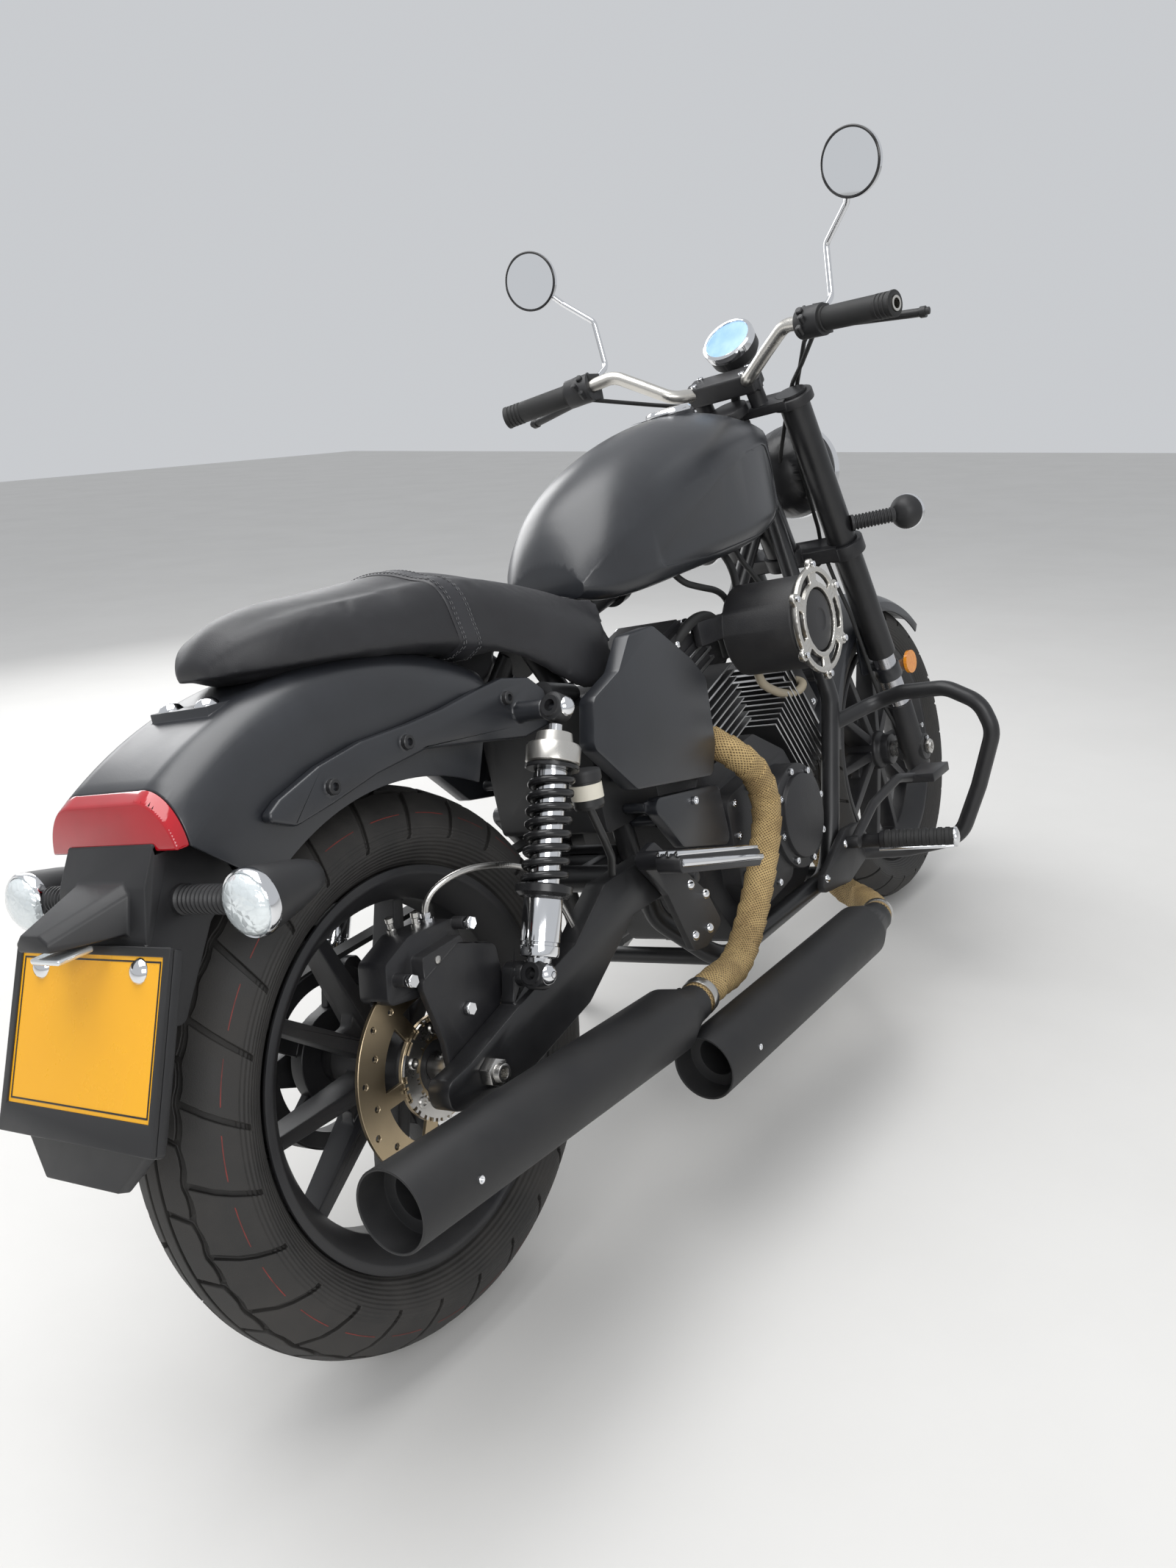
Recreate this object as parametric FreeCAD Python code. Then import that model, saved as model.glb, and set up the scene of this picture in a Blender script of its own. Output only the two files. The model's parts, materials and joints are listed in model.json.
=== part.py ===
import FreeCAD, Part
import math
import os
from functools import lru_cache
from FreeCAD import Placement, Rotation, Vector

# A V-twin cruiser motorcycle, built upright in its own frame and leaned on its side stand at the end.
# X runs forward, Y to the rider's left, Z up. The origin is on the ground, midway between the axles.
# All sizes are in millimetres and degrees.

# Main layout
wheelbase = 1425.0
rake = 23.0
steering_offset = 40.0
fork_spread = 100.0
steering_limit = 34.0
lean = 12.0
running_gap = 0.05
seat_gap = 0.3

# Wheels and tyres
rear_tyre_radius = 310.0
rear_tyre_width = 150.0
rear_crown_radius = 78.0
front_tyre_radius = 299.0
front_tyre_width = 120.0
front_crown_radius = 65.0
rim_seat_radius = 203.0
rim_lip_radius = 219.0
rear_rim_width = 116.0
front_rim_width = 92.0
rim_wall = 7.0
tyre_wall = 9.0
spoke_pairs = 5
spoke_spread = 17.0
hub_radius = 38.0
rear_hub_length = 150.0
front_hub_length = 110.0
rear_axle_radius = 10.0
front_axle_radius = 10.0
axle_bore_radius = 6.0
rear_disc_radius = 120.0
front_disc_radius = 135.0
disc_thickness = 5.0
disc_hole_radius = 3.5

# Final drive on the left
belt_width = 26.0
belt_thickness = 6.0
rear_pulley_radius = 100.0
front_pulley_radius = 38.0
belt_centre_y = 98.0
front_pulley_x = -120.0
front_pulley_z = 392.0

# Swingarm and shocks
pivot_x = -262.0
pivot_z = 394.0
arm_inner_y = 120.0
arm_thickness = 30.0
arm_front_x = -322.0
pivot_half_width = 48.0
shock_top_x = -487.0
shock_top_z = 649.0
shock_foot_x = -620.0
shock_foot_z = 381.0
shock_y = 166.0
spring_radius = 27.0
spring_wire = 4.5
spring_turns = 8

# Rear body
fender_clearance = 142.0
fender_half_width = 97.0
fender_wall = 3.0
fender_crown = 46.0
fender_skirt = 138.0
fender_front_angle = 62.0
fender_sweep = 72.0
fender_reach = 240.0
lamp_depth = 14.0
lamp_height = 54.0
strut_thickness = 14.0
plate_width = 220.0
plate_height = 140.0
plate_tilt = 24.0
plate_setback = 88.5
plate_drop = 196.0
plate_border = 8.0
carrier_half_width = 66.0
signal_radius = 30.0
signal_y = 171.0
signal_drop = 103.0

# Tank and bars
tank_front_x = 332.0
tank_panel_depth = 2.2
tunnel_half_width = 32.0
bar_radius = 11.0
grip_radius = 17.0
bar_bore_radius = 7.5
bar_bore_depth = 40.0
mirror_radius = 49.0
hose_radius = 3.6
front_fender_half_width = 70.0
reflector_x = 716.0
reflector_y = 114.0
reflector_z = 469.0

# Engine
rail_y = 126.0
rail_z = 214.0
rail_radius = 15.0
crank_x = 41.0
crank_z = 330.0
rear_cylinder_tilt = -17.0
front_cylinder_tilt = 57.0
cylinder_y = -12.0
fin_half_length = 75.0
fin_half_width = 96.0
fin_count = 9
fin_pitch = 12.0
fin_thickness = 3.0
fin_start = 165.0
barrel_radius = 62.0
case_half_width = 84.0

# Exhaust
muffler_radius = 41.0
header_radius = 20.0

# Side stand
stand_pivot_x = -50.0
stand_pivot_y = 158.0
stand_pivot_z = 186.0
stand_foot_x = -18.0
stand_foot_y = 300.0
stand_tube_radius = 11.0
stand_fold = 95.0

rear_x = -wheelbase / 2.0
front_x = wheelbase / 2.0
tan_rake = math.tan(math.radians(rake))
cos_rake = math.cos(math.radians(rake))
sin_rake = math.sin(math.radians(rake))
ground_rise = math.tan(math.radians(lean))
ground_lift = rear_crown_radius * (1.0 - math.cos(math.radians(lean)))
fender_radius = rear_tyre_radius + fender_clearance
fender_top = rear_tyre_radius + fender_radius
tail_x = rear_x - fender_reach
tail_z = rear_tyre_radius + math.sqrt(fender_radius ** 2 - fender_reach ** 2)
plate_x = tail_x - plate_setback
plate_z = tail_z - plate_drop


def off_axle(points):
    """Outline points measured from the rear axle."""
    return [(rear_x + x, rear_tyre_radius + z) for x, z in points]


def off_tail(points):
    """Outline points measured from the crown of the fender's tail."""
    return [(tail_x + x, tail_z + z) for x, z in points]


def fork_x(z):
    """X of the fork legs' centre line at a height."""
    return front_x - (z - front_tyre_radius) * tan_rake


def head_x(z):
    """X of the steering axis at a height."""
    return fork_x(z) - steering_offset / cos_rake


def ground_z(y):
    """Height of the ground under the leaning machine, in the upright frame."""
    return y * ground_rise - ground_lift / math.cos(math.radians(lean))


def rod(start, end, radius):
    """Round bar between two points."""
    start = Vector(*start)
    run = Vector(*end) - start
    return Part.makeCylinder(radius, run.Length, start, run)


def block(x0, x1, y0, y1, z0, z1):
    """Rectangular block between two corners."""
    return Part.makeBox(x1 - x0, y1 - y0, z1 - z0, Vector(x0, y0, z0))


def flat_bar(start, end, width, thickness):
    """Flat bar in a Y-Z plane with round ends, its width along X."""
    half = Vector(width / 2.0, 0, 0)
    edge = Vector(1, 0, 0).cross(end - start).normalize() * (thickness / 2.0)
    corners = [start + edge - half, end + edge - half, end - edge - half, start - edge - half]
    bar = Part.Face(Part.makePolygon(corners + [corners[0]])).extrude(half * 2)
    ends = [rod(tuple(p - half), tuple(p + half), thickness / 2.0) for p in (start, end)]
    return fused([bar] + ends)


def fused(shapes):
    """One solid from shapes that overlap or touch."""
    return shapes[0].multiFuse(shapes[1:]).removeSplitter()


def grouped(shapes):
    """Several solids kept apart in one node."""
    return Part.makeCompound(shapes)


def mirrored(shape):
    """Copy on the other side of the machine."""
    return shape.mirror(Vector(0, 0, 0), Vector(0, 1, 0))


def both_sides(shape):
    """The shape and its mirror image, kept apart."""
    return grouped([shape, mirrored(shape)])


def rounded_path(points, bend, closed=False):
    """Edges of straight runs joined by tangent arcs of one radius, or smaller where a run is short."""
    points = [Vector(*p) for p in points]
    count = len(points)
    edges = []
    previous = None
    first = None
    corners = range(count) if closed else range(1, count - 1)
    if not closed:
        previous = points[0]
    for i in corners:
        before, corner, after = points[i - 1], points[i], points[(i + 1) % count]
        run_in = corner - before
        run_out = after - corner
        half_turn = run_in.getAngle(run_out) / 2.0
        reach = min(bend * math.tan(half_turn), 0.45 * min(run_in.Length, run_out.Length))
        radius = reach / math.tan(half_turn)
        run_in.normalize()
        run_out.normalize()
        start = corner - run_in * reach
        end = corner + run_out * reach
        inward = (run_out - run_in).normalize()
        middle = corner + inward * (radius / math.cos(half_turn) - radius)
        if previous is not None:
            edges.append(Part.LineSegment(previous, start).toShape())
        else:
            first = start
        edges.append(Part.Arc(start, middle, end).toShape())
        previous = end
    last = first if closed else points[-1]
    edges.append(Part.LineSegment(previous, last).toShape())
    return Part.Wire(Part.__sortEdges__(edges))


def pipe(points, radius, bend):
    """Bent round bar."""
    path = rounded_path(points, bend)
    run = Vector(*points[1]) - Vector(*points[0])
    ring = Part.Wire(Part.makeCircle(radius, Vector(*points[0]), run))
    return path.makePipe(Part.Face(ring))


def slab(outline, y0, y1, corner=6.0):
    """Plate of an X-Z outline with rounded corners, from one Y to another."""
    wire = rounded_path([(x, y0, z) for x, z in outline], corner, closed=True)
    return Part.Face(wire).extrude(Vector(0, y1 - y0, 0))


def turned(profile, centre, axis=(0, 1, 0)):
    """Ring or disc turned about an axis from pairs of radius and place along the axis."""
    axis = Vector(*axis).normalize()
    side = Vector(1, 0, 0) if abs(axis.x) < 0.9 else Vector(0, 0, 1)
    side = (side - axis * side.dot(axis)).normalize()
    centre = Vector(*centre)
    points = [centre + side * r + axis * a for r, a in profile]
    face = Part.Face(Part.makePolygon(points + [points[0]]))
    return face.revolve(centre, axis, 360)


def section(x, half_width, low, high, side, crown):
    """Cross-section of a padded or pressed form: flat below, upright sides, arched above."""
    shoulder = high - crown
    points = [
        Vector(x, -half_width + side, low),
        Vector(x, half_width - side, low),
        Vector(x, half_width, low + side),
        Vector(x, half_width, shoulder),
        Vector(x, -half_width, shoulder),
        Vector(x, -half_width, low + side),
    ]
    blend = side * (1.0 - math.sqrt(0.5))
    left = Vector(x, half_width - blend, low + blend)
    right = Vector(x, -half_width + blend, low + blend)
    edges = [
        Part.LineSegment(points[0], points[1]).toShape(),
        Part.Arc(points[1], left, points[2]).toShape(),
        Part.LineSegment(points[2], points[3]).toShape(),
        Part.Arc(points[3], Vector(x, 0, high), points[4]).toShape(),
        Part.LineSegment(points[4], points[5]).toShape(),
        Part.Arc(points[5], right, points[0]).toShape(),
    ]
    return Part.Wire(edges)


def cast_wheel(x, z, rim_width, hub_length, axle_radius):
    """Cast wheel with five forked spokes."""
    lip = rim_width / 2.0
    rim = turned([
        (rim_lip_radius, -lip), (rim_lip_radius, -lip + 5), (rim_seat_radius, -lip + 8),
        (rim_seat_radius, -lip + 24), (rim_seat_radius - 15, -lip + 34),
        (rim_seat_radius - 15, lip - 34), (rim_seat_radius, lip - 24),
        (rim_seat_radius, lip - 8), (rim_lip_radius, lip - 5), (rim_lip_radius, lip),
        (rim_lip_radius - 10, lip), (rim_seat_radius - rim_wall, lip - 12),
        (rim_seat_radius - rim_wall - 15, lip - 32), (rim_seat_radius - rim_wall - 15, -lip + 32),
        (rim_seat_radius - rim_wall, -lip + 12), (rim_lip_radius - 10, -lip),
    ], (x, 0, z))
    half = hub_length / 2.0
    hub = turned([
        (axle_radius + running_gap, -half), (hub_radius - 8, -half), (hub_radius - 8, -half + 16),
        (hub_radius, -half + 24), (hub_radius, half - 24), (hub_radius - 8, half - 16),
        (hub_radius - 8, half), (axle_radius + running_gap, half),
    ], (x, 0, z))
    reach = rim_seat_radius - rim_wall - 12
    fork = [wheel_spoke(hub_radius - 5, reach, spread) for spread in (-spoke_spread, spoke_spread)]
    fork.append(slab([(30, -14), (30, 14), (92, 27), (76, 0), (92, -27)], -9, 9, 8))
    spokes = []
    for pair in range(spoke_pairs):
        for piece in fork:
            spoke = piece.copy()
            spoke.rotate(Vector(0, 0, 0), Vector(0, 1, 0), 360.0 / spoke_pairs * pair + 90.0)
            spoke.translate(Vector(x, 0, z))
            spokes.append(spoke)
    return fused([rim, hub] + spokes)


def wheel_spoke(inner, outer, spread):
    """One tapered spoke along +X, turned outwards at the rim by its spread."""
    tilt = math.radians(spread)
    foot = inner * math.tan(math.radians(spread * 0.6))
    tip = outer * math.sin(tilt)
    wires = []
    for x, z, half_z, half_y in ((inner, foot, 10.0, 24.0), (outer, tip, 8.0, 15.0)):
        corners = [
            Vector(x, -half_y, z - half_z), Vector(x, half_y, z - half_z),
            Vector(x, half_y, z + half_z), Vector(x, -half_y, z + half_z),
        ]
        wires.append(Part.makePolygon(corners + [corners[0]]))
    return Part.makeLoft(wires, True, True)


def tyre(x, z, radius, width, crown, rim_width):
    """Road tyre open towards the rim, its crown in flats that meet where the leaning machine rests."""
    half = width / 2.0
    bead = rim_width / 2.0 - 9
    edge = radius - crown + math.sqrt(crown * crown - half * half)
    seat = rim_seat_radius + seat_gap
    outside = []
    for angle in (0.0, lean, 3 * lean, 5 * lean):
        turn = math.radians(angle)
        outside.append((radius - crown * (1.0 - math.cos(turn)), crown * math.sin(turn)))
    outside += [
        (edge, half), ((edge + rim_lip_radius) / 2.0, half - 4), (rim_lip_radius + 2, bead + 4),
        (seat, bead), (seat, bead - 14), (edge, half - tyre_wall),
    ]
    for angle in (4 * lean, 2 * lean):
        turn = math.radians(angle)
        outside.append((radius - crown + (crown - tyre_wall) * math.cos(turn), (crown - tyre_wall) * math.sin(turn)))
    ring = outside + [(r, -y) for r, y in reversed(outside[1:])]
    return turned(ring, (x, 0, z))


def brake_disc(x, z, y, radius, holes=24):
    """Drilled disc with an open centre, outward face at y."""
    disc = turned([(hub_radius - 8, y), (radius, y), (radius, y + disc_thickness),
                   (hub_radius - 8, y + disc_thickness)], (x, 0, z))
    window = turned([(58, y - 1), (radius - 38, y - 1), (radius - 38, y + disc_thickness + 1),
                     (58, y + disc_thickness + 1)], (x, 0, z))
    arms = []
    for i in range(6):
        arm = block(40, radius - 30, y, y + disc_thickness, -9, 9)
        arm.rotate(Vector(0, 0, 0), Vector(0, 1, 0), 60.0 * i)
        arm.translate(Vector(x, 0, z))
        arms.append(arm)
    disc = fused([disc.cut(window)] + arms)
    drills = []
    for i in range(holes):
        angle = math.radians(360.0 / holes * i)
        ring = radius - (10 if i % 2 else 22)
        px = x + ring * math.cos(angle)
        pz = z + ring * math.sin(angle)
        drills.append(rod((px, y - 1, pz), (px, y + disc_thickness + 1, pz), disc_hole_radius))
    return disc.cut(grouped(drills))


def rear_pulley():
    """Flanged belt wheel on the hub's left side."""
    y0 = belt_centre_y - belt_width / 2.0 - 3
    y1 = belt_centre_y + belt_width / 2.0 + 2
    ring = turned([
        (rear_pulley_radius - 14, y0), (rear_pulley_radius + 4, y0), (rear_pulley_radius + 4, y0 + 2.7),
        (rear_pulley_radius, y0 + 2.7), (rear_pulley_radius, y1), (rear_pulley_radius - 14, y1),
    ], (rear_x, 0, rear_tyre_radius))
    centre = turned([
        (rear_axle_radius + 8, rear_hub_length / 2.0), (58, rear_hub_length / 2.0), (58, y0 + 12),
        (rear_axle_radius + 8, y0 + 12),
    ], (rear_x, 0, rear_tyre_radius))
    arms = []
    for i in range(5):
        arm = block(45, rear_pulley_radius - 8, y0 + 2, y0 + 12, -12, 12)
        arm.rotate(Vector(0, 0, 0), Vector(0, 1, 0), 72.0 * i)
        arm.translate(Vector(rear_x, 0, rear_tyre_radius))
        arms.append(arm)
    return fused([ring, centre] + arms)


def belt_loop(rear_radius, front_radius):
    """Face bounded by the taut loop round the two pulleys."""
    dx = front_pulley_x - rear_x
    dz = front_pulley_z - rear_tyre_radius
    span = math.hypot(dx, dz)
    slope = math.degrees(math.atan2(dz, dx))
    wrap = math.degrees(math.asin((rear_radius - front_radius) / span))

    def on(cx, cz, r, angle):
        a = math.radians(angle)
        return Vector(cx + r * math.cos(a), 0, cz + r * math.sin(a))

    up = slope + 90.0 - wrap
    down = slope - 90.0 + wrap
    rear = (rear_x, rear_tyre_radius, rear_radius)
    front = (front_pulley_x, front_pulley_z, front_radius)
    edges = [
        Part.Arc(on(*rear, up), on(*rear, slope + 180.0), on(*rear, down)).toShape(),
        Part.LineSegment(on(*rear, down), on(*front, down)).toShape(),
        Part.Arc(on(*front, down), on(*front, slope), on(*front, up)).toShape(),
        Part.LineSegment(on(*front, up), on(*rear, up)).toShape(),
    ]
    return Part.Face(Part.Wire(edges))


def drive_belt():
    """Closed belt with a running gap to the rear pulley."""
    gap = seat_gap
    outer = belt_loop(rear_pulley_radius + gap + belt_thickness, front_pulley_radius + gap + belt_thickness)
    inner = belt_loop(rear_pulley_radius + gap, front_pulley_radius + gap)
    y0 = belt_centre_y - belt_width / 2.0
    loop = outer.extrude(Vector(0, belt_width, 0)).cut(inner.extrude(Vector(0, belt_width, 0)))
    loop.translate(Vector(0, y0, 0))
    return loop


def front_pulley():
    """Small driving pulley on the gearbox shaft."""
    y0 = belt_centre_y - belt_width / 2.0
    wheel = turned([(0, y0), (front_pulley_radius, y0), (front_pulley_radius, y0 + belt_width),
                    (22, y0 + belt_width), (22, y0 + belt_width + 8), (0, y0 + belt_width + 8)],
                   (front_pulley_x, 0, front_pulley_z))
    shaft = rod((front_pulley_x, case_half_width, front_pulley_z), (front_pulley_x, y0 + 2, front_pulley_z), 14)
    return fused([wheel, shaft])


@lru_cache(maxsize=None)
def swingarm():
    """Two box arms joined ahead of the wheel to a pivot tube, with axle plates and shock studs."""
    outline = off_axle([(-64, -14), (-64, 14), (-20, 20), (74, 44)]) + [
        (-522, pivot_z - 16), (-444, pivot_z + 30), (arm_front_x, pivot_z + 30), (arm_front_x, pivot_z - 28),
        (-400, pivot_z - 28), (-520, pivot_z - 91),
    ] + off_axle([(44, -36), (-10, -38)])
    arm = slab(outline, arm_inner_y, arm_inner_y + arm_thickness, 14)
    reach = arm_inner_y + 4
    foot = (shock_foot_x, reach, shock_foot_z)
    lug = rod(foot, (shock_foot_x, shock_y - 14.2, shock_foot_z), 13)
    stud = rod(foot, (shock_foot_x, shock_y + 22, shock_foot_z), 6)
    web = slab([(shock_foot_x - 24, shock_foot_z - 31), (shock_foot_x - 10, shock_foot_z + 11),
                (shock_foot_x + 12, shock_foot_z + 11), (shock_foot_x + 34, shock_foot_z - 31)],
               reach, arm_inner_y + arm_thickness - 8, 6)
    left = fused([arm, lug, stud, web])
    brace = rod((arm_front_x - 18, -reach, pivot_z), (arm_front_x - 18, reach, pivot_z), 18)
    tube_piece = rod((pivot_x, -pivot_half_width, pivot_z), (pivot_x, pivot_half_width, pivot_z), 22)
    links = []
    for y in (-pivot_half_width + 4, pivot_half_width - 22):
        links.append(block(arm_front_x - 18, pivot_x, y, y + 18, pivot_z - 14, pivot_z + 14))
    body = fused([left, mirrored(left), brace, tube_piece] + links)
    holes = [
        rod((rear_x, -170, rear_tyre_radius), (rear_x, 170, rear_tyre_radius), rear_axle_radius + running_gap),
        rod((pivot_x, -170, pivot_z), (pivot_x, 170, pivot_z), 9 + running_gap),
    ]
    return body.cut(grouped(holes))


def rear_axle_half():
    """Half the length of the rear axle."""
    return arm_inner_y + arm_thickness + 22


def front_axle_half():
    """Half the length of the front axle."""
    return fork_spread + 36


def rear_axle():
    """Hollow rear axle with spacers and nuts."""
    z = rear_tyre_radius
    end = arm_inner_y + arm_thickness
    shaft = rod((rear_x, -rear_axle_half(), z), (rear_x, rear_axle_half(), z), rear_axle_radius)
    pieces = [shaft]
    for side in (-1, 1):
        spacer = (rear_x, side * (rear_hub_length / 2.0 + seat_gap), z)
        pieces.append(rod(spacer, (rear_x, side * (arm_inner_y - 0.1), z), rear_axle_radius + 6))
        nut = Part.Face(hexagon(rear_x, side * (end + 0.2), z, 16)).extrude(Vector(0, side * 14, 0))
        pieces.append(nut)
    body = fused(pieces)
    return body.cut(rod((rear_x, -end - 30, z), (rear_x, end + 30, z), axle_bore_radius))


def hexagon(x, y, z, across):
    """Closed hexagon in an X-Z plane."""
    points = []
    for i in range(6):
        angle = math.radians(60 * i + 30)
        points.append(Vector(x + across * math.cos(angle), y, z + across * math.sin(angle)))
    return Part.makePolygon(points + [points[0]])


def shock_line(y_side):
    """Foot and top eye centres of one shock."""
    foot = Vector(shock_foot_x, y_side * shock_y, shock_foot_z)
    top = Vector(shock_top_x, y_side * shock_y, shock_top_z)
    return foot, top


def shock_body(y_side):
    """Damper of one rear shock with its eyes, spring collars and lower cup."""
    foot, top = shock_line(y_side)
    run = (top - foot)
    length = run.Length
    run.normalize()
    steps = [
        (0, 16, 12), (14, 92, 22), (88, 96, 31), (96, length - 60, 13),
        (length - 66, length - 40, 22), (length - 71, length - 66, 31), (length - 42, length, 11),
    ]
    pieces = []
    for start, end, radius in steps:
        pieces.append(Part.makeCylinder(radius, end - start, foot + run * start, run))
    for eye in (foot, top):
        pieces.append(Part.makeCylinder(16, 28, eye - Vector(0, 14, 0), Vector(0, 1, 0)))
    body = fused(pieces)
    for eye in (foot, top):
        body = body.cut(Part.makeCylinder(6.1, 40, eye - Vector(0, 20, 0), Vector(0, 1, 0)))
    return body


def shock_spring(y_side):
    """Spring as turns of wire, tilted like a coil's and held by a thin sleeve."""
    foot, top = shock_line(y_side)
    run = (top - foot)
    length = run.Length
    run.normalize()
    low = 96.5
    high = length - 71.5
    sleeve = Part.makeCylinder(16, high - low, foot + run * low, run)
    turns = [sleeve.cut(Part.makeCylinder(13.3, high - low, foot + run * low, run))]
    end_turn = 2 * spring_wire
    pitch = (high - low - end_turn) / (spring_turns - 1)
    tilt = math.degrees(math.atan2(pitch / 2.0, 2 * spring_radius))
    for i in range(spring_turns):
        start = foot + run * (low + pitch * i)
        wire = Part.makeCylinder(spring_radius, end_turn, start, run)
        wire = wire.cut(Part.makeCylinder(15, end_turn, start, run))
        if 0 < i < spring_turns - 1:
            wire.rotate(start + run * spring_wire, run.cross(Vector(0, 1, 0)), tilt)
        turns.append(wire)
    return fused(turns)


def fender_section(angle, radius, half_width, wall):
    """Arched cross-section of the fender at an angle about the rear axle, in its radial plane."""
    centre = Vector(rear_x, 0, rear_tyre_radius)
    out = Vector(math.cos(math.radians(angle)), 0, math.sin(math.radians(angle)))
    across = Vector(0, 1, 0)

    def at(r, y):
        return centre + out * r + across * y

    low = radius - fender_skirt - (1 if wall else 0)
    r = radius - wall
    w = half_width - wall
    side = r - fender_crown
    flat = w - fender_crown * 1.1
    bend_r = r - fender_crown * 0.26
    bend_y = w - fender_crown * 0.32
    edges = [
        Part.LineSegment(at(low, -w), at(side, -w)).toShape(),
        Part.Arc(at(side, -w), at(bend_r, -bend_y), at(r, -flat)).toShape(),
        Part.LineSegment(at(r, -flat), at(r, flat)).toShape(),
        Part.Arc(at(r, flat), at(bend_r, bend_y), at(side, w)).toShape(),
        Part.LineSegment(at(side, w), at(low, w)).toShape(),
        Part.LineSegment(at(low, w), at(low, -w)).toShape(),
    ]
    return Part.Face(Part.Wire(edges))


def fender_form(wall, grow=0.0):
    """Solid swept by the fender's section round the rear axle, past its tail."""
    face = fender_section(fender_front_angle, fender_radius + grow, fender_half_width + grow, wall)
    return face.revolve(Vector(rear_x, 0, rear_tyre_radius), Vector(0, -1, 0), fender_sweep)


@lru_cache(maxsize=None)
def rear_fender():
    """Pressed fender over the rear tyre, with the seat's rear bracket on its crown."""
    shell = fender_form(0).cut(fender_form(fender_wall))
    trim = slab(off_tail([(0, 80), (0, -lamp_height), (74, -115), (74, -330), (-200, -330), (-200, 80)]),
                -fender_half_width - 20, fender_half_width + 20)
    bracket_x = rear_x - 132
    bracket_z = rear_tyre_radius + math.sqrt(fender_radius ** 2 - 132 ** 2)
    bracket = block(bracket_x - 14, bracket_x + 60, -44, 44, bracket_z - 8, bracket_z + 5)
    screws = []
    for y in (-28, 28):
        screws.append(rod((bracket_x, y, bracket_z - 4), (bracket_x, y, bracket_z + 10), 9))
    bracket = fused([bracket] + screws).cut(fender_form(fender_wall)).cut(seat())
    return fused([shell.cut(trim), bracket])


def strut_cover():
    """Long bolted strut along the right of the fender, carrying the shock's upper stud."""
    outline = [
        (-880, 638), (-856, 652), (-800, 669), (-738, 678), (-665, 679), (-610, 682), (-551, 689),
        (-502, 693), (-455, 684), (-430, 664), (-430, 622), (-483, 618), (-560, 632), (-649, 647),
        (-727, 641), (-794, 629), (-844, 622),
    ]
    outer = fender_half_width + strut_thickness
    pieces = [slab(outline, -outer, -fender_half_width - 0.3, 10)]
    for x, z in ((-506, 670), (-680, 662), (-793, 646)):
        pieces.append(rod((x, -outer - 4, z), (x, -outer + 8, z), 7))
    top = (shock_top_x, -outer + 4, shock_top_z)
    pieces.append(rod(top, (shock_top_x, -shock_y + 14.2, shock_top_z), 12))
    pieces.append(rod(top, (shock_top_x, -shock_y - 22, shock_top_z), 6))
    return fused(pieces).cut(frame())


def tail_form(wall, back, front, low):
    """Slice of the fender's solid form at its tail, above a height, all measured from the tail's crown."""
    reach = fender_half_width + 1
    window = block(tail_x + back, tail_x + front, -reach, reach, tail_z + low, tail_z + 60)
    return fender_form(wall).common(window)


@lru_cache(maxsize=None)
def tail_light():
    """Wrap-round lens across the fender's tail, with a body that reaches in under the crown."""
    lens = tail_form(0, -lamp_depth, -seat_gap, -lamp_height)
    body = tail_form(fender_wall + seat_gap, -seat_gap - 1, 26, -lamp_height + 6)
    return fused([lens, body])


def plate_frame_point(along, up, out):
    """Point in the plate's own frame: along Y, up the plate, and out from its rear face."""
    tilt = math.radians(plate_tilt)
    return Vector(
        plate_x + up * math.sin(tilt) - out * math.cos(tilt),
        along,
        plate_z + up * math.cos(tilt) + out * math.sin(tilt),
    )


def plate_slab(half_w, low, high, back, front, bevel=3.0):
    """Slab parallel to the number plate, its lower corners bevelled."""
    outline = [(-half_w, low + bevel), (-half_w + bevel, low), (half_w - bevel, low), (half_w, low + bevel),
               (half_w, high), (-half_w, high)]
    corners = [plate_frame_point(along, up, back) for along, up in outline]
    face = Part.Face(Part.makePolygon(corners + [corners[0]]))
    return face.extrude(plate_frame_point(0, 0, front) - plate_frame_point(0, 0, back))


def number_plate():
    """Blank plate in its frame's recess, held by two bolts."""
    plate = plate_slab(plate_width / 2.0, -plate_height / 2.0, plate_height / 2.0, 0, 2)
    studs = []
    for side in (-1, 1):
        foot = plate_frame_point(side * 75, plate_height / 2.0 - 14, 1)
        head = plate_frame_point(side * 75, plate_height / 2.0 - 14, 6)
        studs.append(Part.makeCylinder(8, (head - foot).Length, foot, head - foot))
    return fused([plate] + studs)


def plate_holder():
    """Moulding below the tail that carries the plate, its lamp and the signals, with a flap below."""
    half = plate_height / 2.0
    back = plate_slab(plate_width / 2.0 + plate_border, -half - 26, half + 6, -10, -0.2)
    flap = plate_slab(plate_width / 2.0 - 10, -half - 62, half, -24, -9.9, 45)
    arm = slab(off_tail([(-13, -lamp_height + 12), (48, -66), (62, -103), (22, -133), (-34, -213),
                         (-62, -193), (-48, -123), (-36, -80)]), -carrier_half_width, carrier_half_width, 10)
    return fused([back, flap, arm, plate_lamp()]).cut(tail_light()).cut(rear_fender())


def plate_lamp():
    """Wedge-shaped housing of the lamp above the plate."""
    wires = []
    for x, half_y, low, high in ((-26, 48, -122, -74), (-112, 24, -112, -96)):
        corners = [Vector(tail_x + x, y, tail_z + z) for y, z in
                   ((-half_y, low), (half_y, low), (half_y, high - 8), (half_y - 10, high), (-half_y + 10, high),
                    (-half_y, high - 8))]
        wires.append(Part.makePolygon(corners + [corners[0]]))
    return Part.makeLoft(wires, True, True)


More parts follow.
